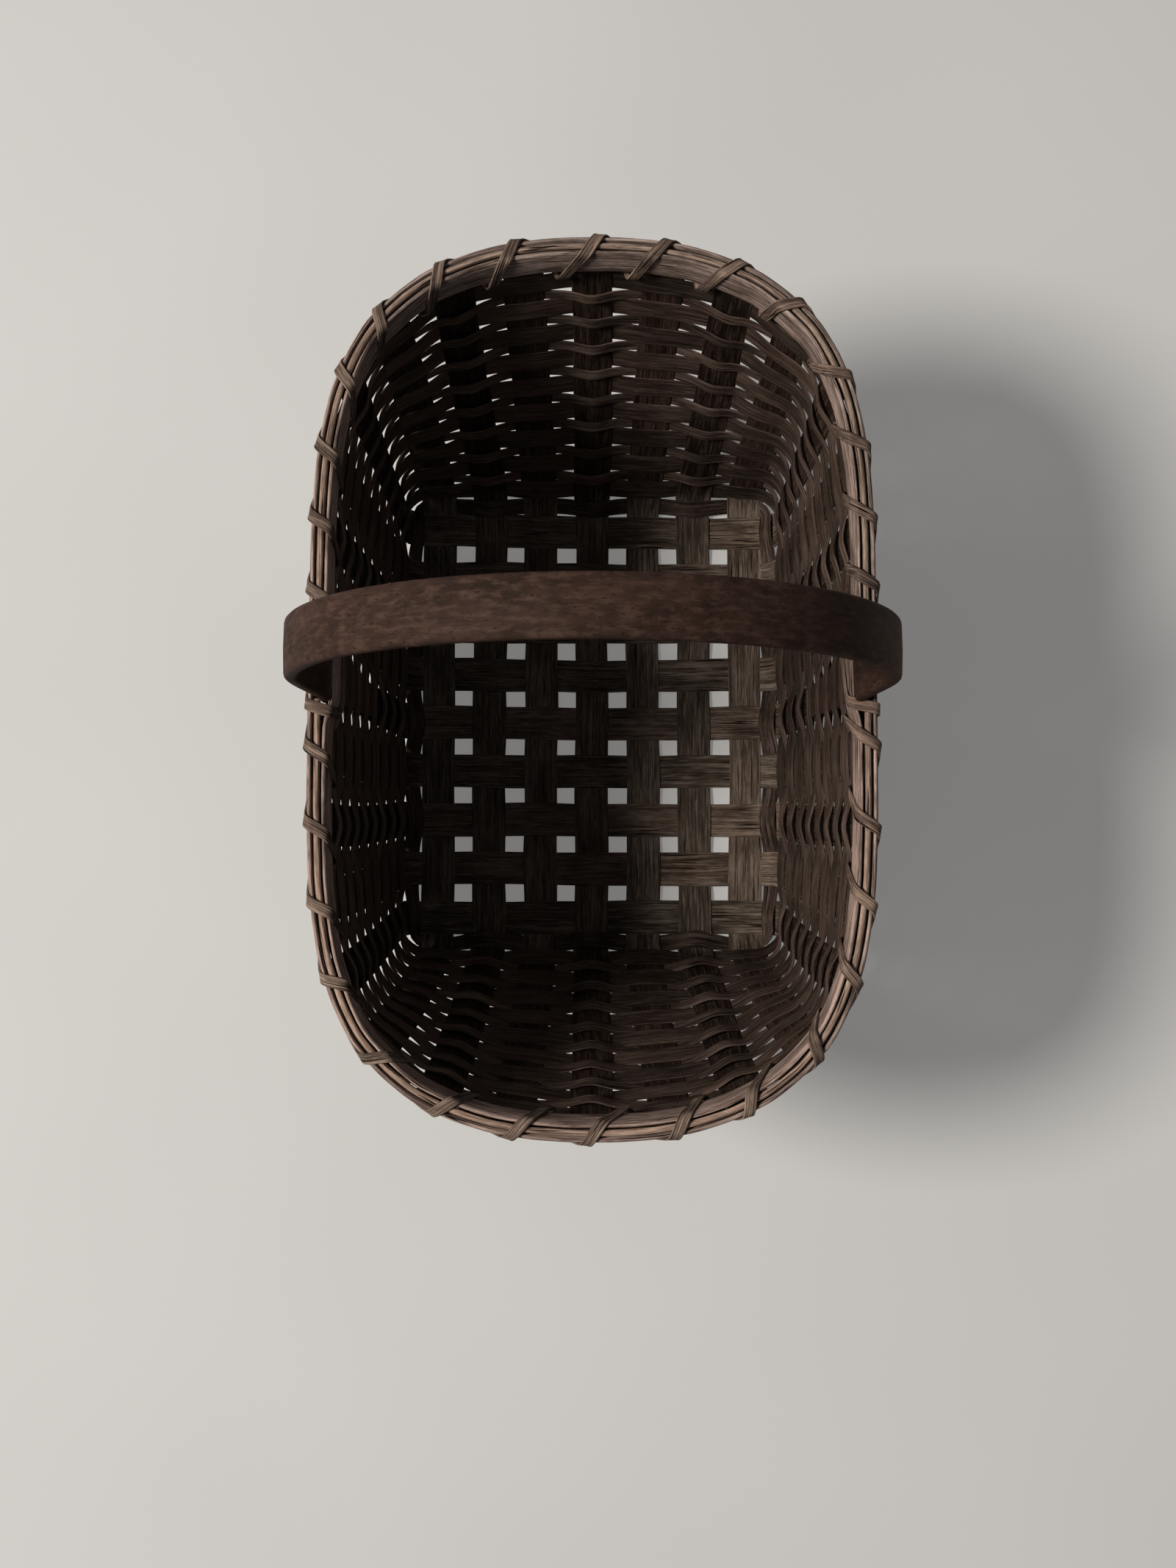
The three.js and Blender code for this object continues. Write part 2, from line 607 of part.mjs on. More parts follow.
const LEFT_LEG_LOOP = [
  ...LOOP.slice(0, 2),
  { past: 0.02, height: lashLow, offset: lashIn, raise: LASH_TURN, inset: 0, look: -22.5 },
  { past: -0.18, height: lashHigh, offset: lashIn, raise: -LASH_CORNER, inset: 0, look: 22.5 },
  { past: -0.17, height: lashHigh, offset: lashIn, raise: 0, inset: -LASH_CORNER, look: 67.5 },
  { past: -0.02, height: lashHigh, offset: lashOut, raise: 0, inset: LASH_CORNER, look: 112.5 },
  { past: 0, height: lashHigh, offset: lashOut, raise: -LASH_CORNER, inset: 0, look: 157.5 },
  { past: 0.5 - FLAT_HALF, height: lashAt(0.75), offset: lashOut, raise: 0, inset: 0, look: 180 },
  { past: 0.5 + FLAT_HALF, height: lashAt(0.2), offset: lashOut, raise: 0, inset: 0, look: 180 },
  LOOP.at(-1),
];

function lashStation(gap, { past, height, offset, raise, inset, look }) {
  const track = {
    height: (upright) => height(upright) + raise,
    reach: innerTrack.reach,
    offset: (upright) => offset(upright) + inset,
  };
  const { point, up } = trackAt(track, gap + past);
  const clockwise = trackAt(track, gap + past + 0.02).point.sub(trackAt(track, gap + past - 0.02).point);
  const inward = clockwise.cross(up).normalize();
  const angle = THREE.MathUtils.degToRad(look);
  const face = inward.multiplyScalar(Math.cos(angle)).addScaledVector(up, Math.sin(angle)).normalize();
  return { point, face };
}

// From the gap before a leg of the handle to the gap before the other leg.
function lashing(leg, legLoop) {
  const stations = [];
  for (let loop = 0; loop < HALF_ROUND; loop++) {
    const shape = loop === 0 ? legLoop : LOOP;
    shape.forEach((station) => stations.push(lashStation(leg - 0.5 + loop, station)));
  }
  const outline = flatOutline(LASH_WIDTH, LASH_THICK);
  return stations.map(({ point, face }, i) => {
    const before = stations[Math.max(i - 1, 0)].point;
    const after = stations[Math.min(i + 1, stations.length - 1)].point;
    const wide = after.clone().sub(before).cross(face).normalize();
    return place(outline, point, wide, wide.clone().cross(after.clone().sub(before)).normalize());
  });
}

// The least distance between the corners of sections that are most of a loop apart.
function leastGap(sections) {
  let least = Infinity;
  for (let a = 0; a < sections.length; a++) {
    for (let b = a + LOOP.length - 3; b < sections.length; b++) {
      for (const p of sections[a]) {
        for (const q of sections[b]) {
          least = Math.min(least, p.distanceTo(q));
        }
      }
    }
  }
  return least;
}

const lashings = [
  { name: 'front', leg: RIGHT_HANDLE, legLoop: RIGHT_LEG_LOOP },
  { name: 'back', leg: RIGHT_HANDLE + HALF_ROUND, legLoop: LEFT_LEG_LOOP },
];
for (const { name, leg, legLoop } of lashings) {
  const sections = lashing(leg, legLoop);
  console.log(`rim_lashing_${name}: least gap to itself ${leastGap(sections).toFixed(2)} mm`);
  addPiece(`rim_lashing_${name}`, sweep(sections, false), reed(LASH_COLOUR));
}

// Handle: a tail down the inside of each middle cross stake, a leg between the rim bands, and the hoop

const HOOP_HALF_WIDTH = RIM_HALF_WIDTH + HOOP_OVERHANG - HANDLE_THICK / 2;
const HOOP_Z = RIM_TOP + LEG_RISE;
const HOOP_RISE = HANDLE_TOP - HANDLE_THICK / 2 - HOOP_Z;
const HOOP_START = THREE.MathUtils.degToRad(10);
const HOOP_STEPS = 11; // from a leg to the hoop's top
const LEG_STEPS = 5;
const TAIL_STEPS = 4;

const hoopPoint = (angle) => new THREE.Vector3(
  HOOP_HALF_WIDTH * Math.cos(angle), BASE_SHIFT + HOOP_SHIFT, HOOP_Z + HOOP_RISE * Math.sin(angle));

function tailStations(upright) {
  const end = upright.atHeight(STAKE_TOP);
  const stations = [];
  for (let i = 0; i <= TAIL_STEPS; i++) {
    const s = THREE.MathUtils.lerp(tailTip(upright), end, i / TAIL_STEPS);
    const thick = tailThick(upright, s);
    const { point, inward } = upright.at(s);
    const inset = STAKE_THICK / 2 + FIT + thick / 2;
    stations.push({ point: along(point, inward, inset), width: tailWidth(upright, s), thick });
  }
  return stations;
}

function handleHalf(upright) {
  const stations = tailStations(upright);
  const [beforeLast, last] = stations.slice(-2).map((s) => s.point);
  const hoopStart = hoopPoint(HOOP_START);
  const hoopDirection = hoopPoint(HOOP_START + 0.01).sub(hoopPoint(HOOP_START - 0.01)).normalize();
  const tailDirection = last.clone().sub(beforeLast).normalize();
  const pull = last.distanceTo(hoopStart) / 3;
  const leg = new THREE.CubicBezierCurve3(
    last, along(last, tailDirection, pull), along(hoopStart, hoopDirection, -pull), hoopStart);
  for (let i = 1; i <= LEG_STEPS; i++) {
    const share = i / LEG_STEPS;
    const thick = THREE.MathUtils.lerp(TAIL_THICK, HANDLE_THICK, Math.min(share * 2, 1));
    const width = THREE.MathUtils.lerp(LEG_WIDTH, HANDLE_WIDTH, share);
    stations.push({ point: leg.getPoint(share), width, thick });
  }
  for (let i = 1; i <= HOOP_STEPS; i++) {
    const angle = THREE.MathUtils.lerp(HOOP_START, Math.PI / 2, i / HOOP_STEPS);
    stations.push({ point: hoopPoint(angle), width: HANDLE_WIDTH, thick: HANDLE_THICK });
  }
  return stations;
}

function handle() {
  const right = handleHalf(rightHandleUpright);
  const left = right.slice(0, -1).reverse().map(({ point, width, thick }) => (
    { point: point.clone().setX(-point.x), width, thick }));
  const stations = [...right, ...left];
  const wide = new THREE.Vector3(0, 1, 0);
  const sections = stations.map(({ point, width, thick }, i) => {
    const before = stations[Math.max(i - 1, 0)].point;
    const after = stations[Math.min(i + 1, stations.length - 1)].point;
    const face = wide.clone().cross(after.clone().sub(before)).normalize();
    return place(bevelledOutline(width, thick, HANDLE_EDGE), point, wide, face);
  });
  return sweep(sections, false);
}

const handleWood = new THREE.MeshStandardMaterial({ color: HANDLE_COLOUR, roughness: 0.5, metalness: 0 });
addPiece('handle', handle(), handleWood);

export default group;
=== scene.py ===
"""Looks for the plaited reed basket: every strip drawn finer than in the CAD, stained reed, and the studio.

Lengths are in millimetres until a mesh is made. X runs across the basket, Y along it and Z up.
"""

import math
from collections import namedtuple

import bpy
import numpy as np
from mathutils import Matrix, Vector


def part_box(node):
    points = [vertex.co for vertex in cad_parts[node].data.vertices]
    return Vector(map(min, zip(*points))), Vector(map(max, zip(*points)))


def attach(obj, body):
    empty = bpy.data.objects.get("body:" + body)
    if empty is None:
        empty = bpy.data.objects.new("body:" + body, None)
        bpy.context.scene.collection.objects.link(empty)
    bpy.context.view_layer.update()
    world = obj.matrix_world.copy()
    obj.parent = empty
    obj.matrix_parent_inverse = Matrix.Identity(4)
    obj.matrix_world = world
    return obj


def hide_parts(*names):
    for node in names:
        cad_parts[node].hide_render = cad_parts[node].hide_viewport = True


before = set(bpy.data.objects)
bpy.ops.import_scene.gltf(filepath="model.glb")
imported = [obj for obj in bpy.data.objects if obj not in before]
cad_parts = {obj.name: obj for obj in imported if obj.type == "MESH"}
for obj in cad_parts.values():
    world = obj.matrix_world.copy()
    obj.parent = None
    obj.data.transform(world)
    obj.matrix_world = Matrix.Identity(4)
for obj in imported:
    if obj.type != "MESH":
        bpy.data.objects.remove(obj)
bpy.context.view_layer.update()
MM = 0.001


def box_mm(node):
    low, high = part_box(node)
    return np.array(low) / MM, np.array(high) / MM


# Sizes read from the frame

RIM_HIGH = box_mm("outer_rim")[1]
HANDLE_LOW, HANDLE_HIGH = box_mm("handle")
STAKE_LOW, STAKE_HIGH = box_mm("long_stake_4")
CROSS_LOW, CROSS_HIGH = box_mm("cross_stake_5")

RIM_HALF_WIDTH = RIM_HIGH[0]
RIM_HALF_LENGTH = RIM_HIGH[1]
HANDLE_TOP = HANDLE_HIGH[2]
LEG_WIDTH = HANDLE_HIGH[1] - HANDLE_LOW[1]
BASE_SHIFT = (CROSS_HIGH[1] + CROSS_LOW[1]) / 2
STAKE_WIDTH = STAKE_HIGH[0] - STAKE_LOW[0]

# Sizes that no box of the frame shows, as in the CAD

STAKE_THICK = 1.2
WIDE_WIDTH = 12
NARROW_WIDTH = 5.8
WEAVER_THICK = 1
FIT = 0.3
EDGE_STEP = 0.5
LONG_COUNT = 7
CROSS_COUNT = 9
LONG_PITCH = 25.2
CROSS_PITCH = 24
HEEL_ANGLE = math.radians(35)
HEEL_RUN = 1.8
HEEL_BEND = 1.3
WALL_BULGE = 0.5
SIDE_POWER = 4.5
END_POWER = 2.3
RIM_TOP = 194
RIM_HEIGHT = 16
OUTER_RIM_THICK = 2.2
INNER_RIM_THICK = 2
FILLER_DIAMETER = 3
TOP_ROW_DROP = 8
HANDLE_WIDTH = 23
HANDLE_THICK = 5.6
HOOP_OVERHANG = 6
HOOP_SHIFT = 1.2
LEG_RISE = 14
TAIL_LENGTH = 108
TAIL_THICK = 3
TIP_WIDTH = 14
TIP_THICK = 1.2
ROW_PAIRS = 9

# The drawn reed is thinner and lies closer than the CAD strips can

STAKE_LOOK = 0.9  # drawn thickness of a stake
WEAVER_LOOK = 0.75  # and of a weaver
CONTACT = 0.02
WEAVE_LIFT = (STAKE_LOOK + CONTACT) / 2
WEAVE_OFFSET = (STAKE_LOOK + WEAVER_LOOK) / 2 + CONTACT
FRONT_SPREAD = 2.9  # rows are drawn this much wider at the front, where the gaps are small
BACK_SPREAD = 0.7  # this much wider at the back
CORNER_SPREAD = -0.6  # and narrower at the corners, where the gaps are larger
CORNER_START = 0.7  # a corner sets in between these shares of a ring's largest x times y
CORNER_FULL = 0.92
NARROW_BOW = 3  # how far a narrow row stands off a stake that it passes inside
EDGE_SHARE = 0.75  # at a stake's edges a row lies this share of its full offset away
HEEL_SPREAD = 1.6  # the row on the heel is drawn this much wider still
WALL_SPREAD = 1.6  # stakes are drawn this much wider on the wall than on the base
FILLER_LOOK = 2.6  # drawn diameter of a filler
LASH_WIDTH = 4.8
LASH_THICK = 0.75
LASH_FIT = 0.12
LASH_SLOT = 2.2  # the gap below the top weaver that the lashing passes through
LASH_CORNER = 0.7  # how far the lashing's corners are cut off above the rim
LASH_TURN = 1.8  # and below the top weaver

# Values that follow from them

HEEL_LENGTH = HEEL_RUN + NARROW_WIDTH + FIT + HEEL_BEND
BASE_LIFT = (STAKE_THICK + FIT) / 2
BASE_Z = BASE_LIFT + STAKE_THICK / 2
WEAVER_OFFSET = STAKE_THICK / 2 + FIT + WEAVER_THICK / 2
WALL_HALF = WEAVER_OFFSET + WEAVER_THICK / 2
OUTER_OFFSET = WALL_HALF + FIT + OUTER_RIM_THICK / 2
INNER_OFFSET = WALL_HALF + FIT + INNER_RIM_THICK / 2
STAKE_TOP = RIM_TOP - FILLER_DIAMETER
FILLER_Z = STAKE_TOP + FIT + FILLER_DIAMETER / 2
LASH_TOP = FILLER_Z + FILLER_DIAMETER / 2 + LASH_FIT + LASH_THICK / 2
FILLER_END = LEG_WIDTH / 2 + 3 * FIT  # a filler stops this far from the middle of a leg
CROSSING_HALF = STAKE_WIDTH / 2 + FIT
STAKE_REACH = STAKE_WIDTH / 2 + EDGE_STEP
LONG_MIDDLE = (LONG_COUNT + 1) // 2
CROSS_MIDDLE = (CROSS_COUNT + 1) // 2
QUARTER_STEPS = (LONG_COUNT + CROSS_COUNT) // 2
TOP_ROW = 2 * ROW_PAIRS
UP = np.array([0.0, 0.0, 1.0])


def vector(x, y, z):
    return np.array([x, y, z], float)


def unit(v):
    return v / np.linalg.norm(v, axis=-1, keepdims=True)


def lerp(a, b, share):
    return a + (b - a) * share


# The rim's oval through the middle of the stakes

OVAL_HALF_WIDTH = RIM_HALF_WIDTH - OUTER_OFFSET - OUTER_RIM_THICK / 2
OVAL_HALF_LENGTH = RIM_HALF_LENGTH - OUTER_OFFSET - OUTER_RIM_THICK / 2
OVAL_SAMPLES = 2000
OVAL_CROWDING = 3  # samples lie closer together near the oval's ends and sides
OVAL_NEAR = 0.5  # its direction is taken between points this far to each side


def oval_points():
    """Points on the right half of the oval, from the back end round to the front end."""
    q = np.linspace(0, 1, OVAL_SAMPLES + 1)
    angle = math.pi / 2 * q**OVAL_CROWDING / (q**OVAL_CROWDING + (1 - q) ** OVAL_CROWDING)
    x = OVAL_HALF_WIDTH * np.sin(angle) ** (2 / END_POWER)
    y = OVAL_HALF_LENGTH * np.abs(np.cos(angle)) ** (2 / SIDE_POWER)
    y[-1] = 0
    z = np.full_like(x, STAKE_TOP)
    back = np.stack([x, y, z], axis=-1)
    return np.concatenate([back, back[-2::-1] * [1, -1, 1]])


def lengths_along(points):
    return np.concatenate([[0], np.cumsum(np.linalg.norm(np.diff(points, axis=0), axis=-1))])


def read(place, places, vectors):
    """The vector at a place in a table of vectors."""
    return np.array([np.interp(place, places, vectors[:, axis]) for axis in range(3)]).T


OVAL = oval_points()
OVAL_LENGTHS = lengths_along(OVAL)
OVAL_QUARTER = OVAL_LENGTHS[OVAL_SAMPLES]


def rim_place(steps):
    """The oval's point and direction a number of stakes after the middle one at the back."""
    behind = min(steps, QUARTER_STEPS) * (OVAL_QUARTER - BASE_SHIFT)
    before = max(steps - QUARTER_STEPS, 0) * (OVAL_QUARTER + BASE_SHIFT)
    length = (behind + before) / QUARTER_STEPS
    point = read(length, OVAL_LENGTHS, OVAL)
    ahead = read(length + OVAL_NEAR, OVAL_LENGTHS, OVAL)
    tangent = ahead - read(length - OVAL_NEAR, OVAL_LENGTHS, OVAL)
    return point, unit(tangent)


# Uprights: the 32 places where a stake climbs the wall

Frame = namedtuple("Frame", "point up wide inward")


class Upright:
    """One upright's middle line from the base's edge to the stake's top, with its frame anywhere on it.

    `turn` is 1 where `across` points clockwise seen from above, and -1 where it points the other way.
    """

    BEND_STEPS = 4
    WALL_STEPS = 60
    BEYOND = 1.05  # the line goes on past the stake's top, for the rim

    def __init__(self, foot, out, across, turn, top, top_across, on_top, holds_handle=False):
        self.turn = turn
        self.on_top = on_top
        self.holds_handle = holds_handle
        heel = out * math.cos(HEEL_ANGLE) + UP * math.sin(HEEL_ANGLE)
        corner = foot + heel * HEEL_LENGTH

        def wall(v):
            point = lerp(corner, top, v + WALL_BULGE * v * (1 - v))
            point[2] = lerp(corner[2], top[2], v)
            return point

        bend_end = HEEL_BEND / (top[2] - corner[2])
        bend_start = corner - heel * HEEL_BEND
        points = [foot]
        acrosses = [across]
        for t in np.linspace(0, 1, self.BEND_STEPS + 1):
            low = lerp(bend_start, corner, t)
            high = lerp(corner, wall(bend_end), t)
            points.append(lerp(low, high, t))
            acrosses.append(across)
        for v in np.linspace(bend_end, self.BEYOND, self.WALL_STEPS)[1:]:
            points.append(wall(v))
            acrosses.append(lerp(across, top_across, v))
        self.points = np.array(points)
        self.acrosses = np.array(acrosses)
        self.lengths = lengths_along(self.points)
        self.ups = unit(np.gradient(self.points, self.lengths, axis=0))
        self.bend_end = self.lengths[self.BEND_STEPS + 1]
        self.length = self.at_height(top[2])

    def at(self, s):
        point = read(s, self.lengths, self.points)
        up = unit(read(s, self.lengths, self.ups))
        across = read(s, self.lengths, self.acrosses)
        wide = unit(across - up * np.dot(across, up))
        return Frame(point, up, wide, np.cross(wide, up) * self.turn)

    def at_height(self, z):
        return np.interp(z, self.points[:, 2], self.lengths)

    def lift(self, s):
        """How far the stake itself lies inside the middle line."""
        side = 1 if self.on_top else -1
        return side * WEAVE_LIFT * max(0, 1 - s / HEEL_LENGTH)


def long_x(i):
    return (i - LONG_MIDDLE) * LONG_PITCH


def cross_y(j):
    return BASE_SHIFT + (CROSS_MIDDLE - j) * CROSS_PITCH


def is_long_on_top(i, j):
    return (i + j) % 2 == 1


def end_upright(i, side):
    """An upright of long stake i, at the back (side 1) or the front (side -1)."""
    from_middle = abs(i - LONG_MIDDLE)
    steps = from_middle if side > 0 else 2 * QUARTER_STEPS - from_middle
    point, tangent = rim_place(steps)
    mirror = -1 if i < LONG_MIDDLE else 1
    last_cross = 1 if side > 0 else CROSS_COUNT
    return Upright(
        foot=vector(long_x(i), cross_y(last_cross) + side * CROSSING_HALF, BASE_Z),
        out=vector(0, side, 0),
        across=vector(1, 0, 0),
        turn=side,
        top=point * [mirror, 1, 1],
        top_across=vector(tangent[0] * side, tangent[1] * side * mirror, 0),
        on_top=is_long_on_top(i, last_cross),
    )


def side_upright(j, side):
    """An upright of cross stake j, on the right (side 1) or the left (side -1)."""
    point, tangent = rim_place((LONG_COUNT - 1) // 2 + j)
    last_long = LONG_COUNT if side > 0 else 1
    return Upright(
        foot=vector(long_x(last_long) + side * CROSSING_HALF, cross_y(j), BASE_Z),
        out=vector(side, 0, 0),
        across=vector(0, 1, 0),
        turn=-side,
        top=point * [side, 1, 1],
        top_across=vector(-tangent[0] * side, -tangent[1], 0),
        on_top=not is_long_on_top(last_long, j),
        holds_handle=j == CROSS_MIDDLE,
    )


BACK = [end_upright(i + 1, 1) for i in range(LONG_COUNT)]
FRONT = [end_upright(i + 1, -1) for i in range(LONG_COUNT)]
RIGHT = [side_upright(j + 1, 1) for j in range(CROSS_COUNT)]
LEFT = [side_upright(j + 1, -1) for j in range(CROSS_COUNT)]
UPRIGHTS = BACK + RIGHT + FRONT[::-1] + LEFT[::-1]  # clockwise seen from above
RIGHT_HANDLE = LONG_COUNT + CROSS_MIDDLE - 1
HALF_ROUND = len(UPRIGHTS) // 2


# The handle's tail, measured down from the stakes' tops


def tail_share(upright, s):
    tip = upright.length - TAIL_LENGTH
    return min(max((s - tip) / (TAIL_LENGTH - RIM_HEIGHT), 0), 1)


def tail_thick(upright, s):
    return lerp(TIP_THICK, TAIL_THICK, tail_share(upright, s))


def tail_width(upright, s):
    return lerp(TIP_WIDTH, LEG_WIDTH, tail_share(upright, s))


def on_tail(upright, s):
    return upright.holds_handle and s > upright.length - TAIL_LENGTH - FIT


# Rows of weavers: row 0 lies on the heel, then wide and narrow rows take turns, and the top row is last


def is_narrow_side(row):
    return row % 2 == 0


def row_width(row):
    return NARROW_WIDTH if is_narrow_side(row) and row != TOP_ROW else WIDE_WIDTH


def row_at(upright, row):
    """How far up an upright the middle of a row lies."""
    wall_start = upright.bend_end + FIT
    top_end = upright.at_height(RIM_TOP - TOP_ROW_DROP)
    if row == 0:
        return HEEL_RUN + NARROW_WIDTH / 2
    if row == TOP_ROW:
        return top_end - WIDE_WIDTH / 2
    stack = top_end - wall_start - WIDE_WIDTH - LASH_SLOT
    reeds = ROW_PAIRS * (WIDE_WIDTH + NARROW_WIDTH) - NARROW_WIDTH
    gap = (stack - reeds) / (TOP_ROW - 2)
    before = row // 2 * WIDE_WIDTH + (row - 1) // 2 * NARROW_WIDTH
    return wall_start + before + (row - 1) * gap + row_width(row) / 2


# A track gives, for each upright, how far up a ring lies, how far it stays to each side of the upright,
# how far inside the middle line it lies there, and how much further inside it bows in the middle

Track = namedtuple("Track", "height reach offset bow", defaults=[lambda upright: 0])


def row_track(row):
    half = row_width(row) / 2

    def middle(upright):
        return row_at(upright, row)

    def is_inside(upright):
        return upright.on_top == is_narrow_side(row)

    def side(upright):
        return 1 if is_inside(upright) else -1

    def lies_on_tail(upright):
        return is_inside(upright) and on_tail(upright, middle(upright) + half)

    def reach(upright):
        if lies_on_tail(upright):
            return tail_width(upright, middle(upright) + half) / 2 + EDGE_STEP
        return STAKE_REACH

    def offset(upright):
        tail = tail_thick(upright, middle(upright) + half) + FIT if lies_on_tail(upright) else 0
        from_stake = side(upright) * (EDGE_SHARE * WEAVE_OFFSET + tail)
        return upright.lift(middle(upright) - half) + from_stake

    def bow(upright):
        bows = row_width(row) == NARROW_WIDTH and is_inside(upright) and not lies_on_tail(upright)
        return side(upright) * (1 - EDGE_SHARE) * WEAVE_OFFSET + (NARROW_BOW if bows else 0)

    return Track(middle, reach, offset, bow)


def rim_middle(upright):
    return upright.at_height(RIM_TOP - RIM_HEIGHT / 2)


def inner_reach(upright):
    return LEG_WIDTH / 2 + EDGE_STEP if upright.holds_handle else STAKE_REACH


def inner_offset(upright):
    return INNER_OFFSET + (TAIL_THICK + FIT if upright.holds_handle else 0)


OUTER_TRACK = Track(rim_middle, lambda upright: STAKE_REACH, lambda upright: -OUTER_OFFSET)
INNER_TRACK = Track(rim_middle, inner_reach, inner_offset)
FILLER_TRACK = Track(
    height=lambda upright: upright.at_height(FILLER_Z),
    reach=lambda upright: FILLER_END if upright.holds_handle else STAKE_REACH,
    offset=lambda upright: 0,
)


def track_frame(track, upright, side):
    """The frame on a track at one side of an upright (1 is clockwise, -1 the other way) or on it (0)."""
    found = upright.at(track.height(upright))
    aside = found.wide * side * upright.turn * track.reach(upright)
    offset = track.offset(upright) + (track.bow(upright) if side == 0 else 0)
    return found._replace(point=found.point + aside + found.inward * offset)


FLAT_HALF = 0.3  # half of the stretch of a track beside an upright, in uprights


def track_at(track, place):
    """The point and up direction on a track at any place, counted in uprights."""
    nearest = round(place)
    past = place - nearest
    here = UPRIGHTS[nearest % len(UPRIGHTS)]
    if past > FLAT_HALF:
        start = track_frame(track, here, 1)
        end = track_frame(track, UPRIGHTS[(nearest + 1) % len(UPRIGHTS)], -1)
        share = (past - FLAT_HALF) / (1 - 2 * FLAT_HALF)
    elif past < -FLAT_HALF:
        start = track_frame(track, UPRIGHTS[(nearest - 1) % len(UPRIGHTS)], 1)
        end = track_frame(track, here, -1)
        share = (past + 1 - FLAT_HALF) / (1 - 2 * FLAT_HALF)
    else:
        start = track_frame(track, here, -1)
        end = track_frame(track, here, 1)
        share = (past + FLAT_HALF) / (2 * FLAT_HALF)
    return lerp(start.point, end.point, share), unit(lerp(start.up, end.up, share))


# Lines: a strip's points with one direction at each, spaced evenly and eased round the corners

LINE_STEP = 3.2
LASH_STEP = 1.6
EASE_ROUNDS = 2


def ease(values, closed):
    for _ in range(EASE_ROUNDS):
        if closed:
            before = np.roll(values, 1, axis=0)
            after = np.roll(values, -1, axis=0)
            values = (before + 2 * values + after) / 4
        else:
            middle = (values[:-2] + 2 * values[1:-1] + values[2:]) / 4
            values = np.concatenate([values[:1], middle, values[-1:]])
    return values


def even_line(points, directions, step, closed):
    points = np.array(points)
    directions = np.array(directions)
    if closed:
        points = np.concatenate([points, points[:1]])
        directions = np.concatenate([directions, directions[:1]])
    lengths = lengths_along(points)
    spans = max(round(lengths[-1] / step), 2)
    places = np.linspace(0, lengths[-1], spans + 1)
    if closed:
        places = places[:-1]
    even_points = ease(read(places, lengths, points), closed)
    even_directions = ease(read(places, lengths, directions), closed)
    return even_points, unit(even_directions)


def tangents(points, closed):
    if closed:
        return unit(np.roll(points, -1, axis=0) - np.roll(points, 1, axis=0))
    return unit(np.gradient(points, axis=0))


STRIP_WAVES = (2, 3, 5, 8, 13)  # how many times each wave of a wander turns over the strip
RING_WAVES = (3, 7, 13, 23, 37)


def wander(seed, count, size, waves=STRIP_WAVES):
    """A slow seeded wave with `count` values, which meets itself at the ends."""
    rng = np.random.default_rng(seed)
    place = np.arange(count) / count
    total = np.zeros(count)
    for wave in waves:
        height = rng.normal() / math.sqrt(wave)
        total += height * np.sin(2 * math.pi * (wave * place + rng.random()))
    return size * total


# Outlines across a strip, as pairs along its width and its thickness

REED_EDGE = 0.55  # how far a reed's edges are rounded, in half thicknesses
REED_SHOULDER = 2.5  # how far in from its edge the flat face begins, in such roundings
REED_CROWN = 1.1  # how high its middle stands, in half thicknesses

BAND_BACK = 0.47  # half of a rim band's flat back, as a share of its width
BAND_STEPS = 11
BAND_SIDE_POWER = 0.7  # these two powers give the round front its shape
BAND_FRONT_POWER = 0.5
BAND_EDGE = 0.25  # a band's thickness at its edges, as a share of its full thickness

LASH_RIBS = 5
RIB_START = 0.22  # where a rib's flat top begins and ends, as shares of the rib's width
RIB_END = 0.78
GROOVE = 0.5  # how high a groove's bottom lies, in half thicknesses
LASH_SIDE = -0.2  # and how high the strip's edges lie
LASH_BACK = 0.94  # the back's width, as a share of the strip's

HANDLE_EDGE = 1.7  # the radius of the handle's edges
LARGEST_EDGE = 0.48  # and its limit, as a share of the thickness
HANDLE_CROWN = 0.25


def whole_outline(upper):
    """An outline from its upper half, turned half round for the lower one."""
    return np.array(upper + [(-x, -y) for x, y in upper])


def reed_outline(width, thick):
    """Flat reed with rounded edges and slightly crowned faces."""
    w = width / 2
    t = thick / 2
    edge = REED_EDGE * t
    right = [(w, t - edge), (w - edge, t), (w - REED_SHOULDER * edge, t)]
    left = [(-x, y) for x, y in reversed(right)]
    return whole_outline(right + [(0, REED_CROWN * t)] + left)


def band_outline(width, thick, face):
    """A band with a flat back, and a full round front on the side that `face` points to (1 or -1)."""
    back = -face * thick / 2
    outline = [(width * BAND_BACK, back)]
    for angle in np.radians(np.linspace(90, -90, BAND_STEPS)):
        along = math.copysign(abs(math.sin(angle)) ** BAND_SIDE_POWER, angle)
        depth = max(max(math.cos(angle), 0) ** BAND_FRONT_POWER, BAND_EDGE)
        outline.append((width / 2 * along, back + face * thick * depth))
    outline.append((-width * BAND_BACK, back))
    return np.array(outline)


def round_outline(diameter, sides):
    angle = np.linspace(0, 2 * math.pi, sides, endpoint=False)
    return np.stack([np.cos(angle), np.sin(angle)], axis=-1) * diameter / 2


def grooved_outline(width, thick):
    """A strip with ribs along its outer face."""
    w = width / 2
    t = thick / 2
    rib = width / LASH_RIBS
    outer = [(w, LASH_SIDE * t)]
    for place in w - rib * np.arange(LASH_RIBS):
        outer += [(place - RIB_START * rib, t), (place - RIB_END * rib, t), (place - rib, GROOVE * t)]
    outer[-1] = (-w, LASH_SIDE * t)
    return np.array(outer + [(-LASH_BACK * w, -t), (LASH_BACK * w, -t)])


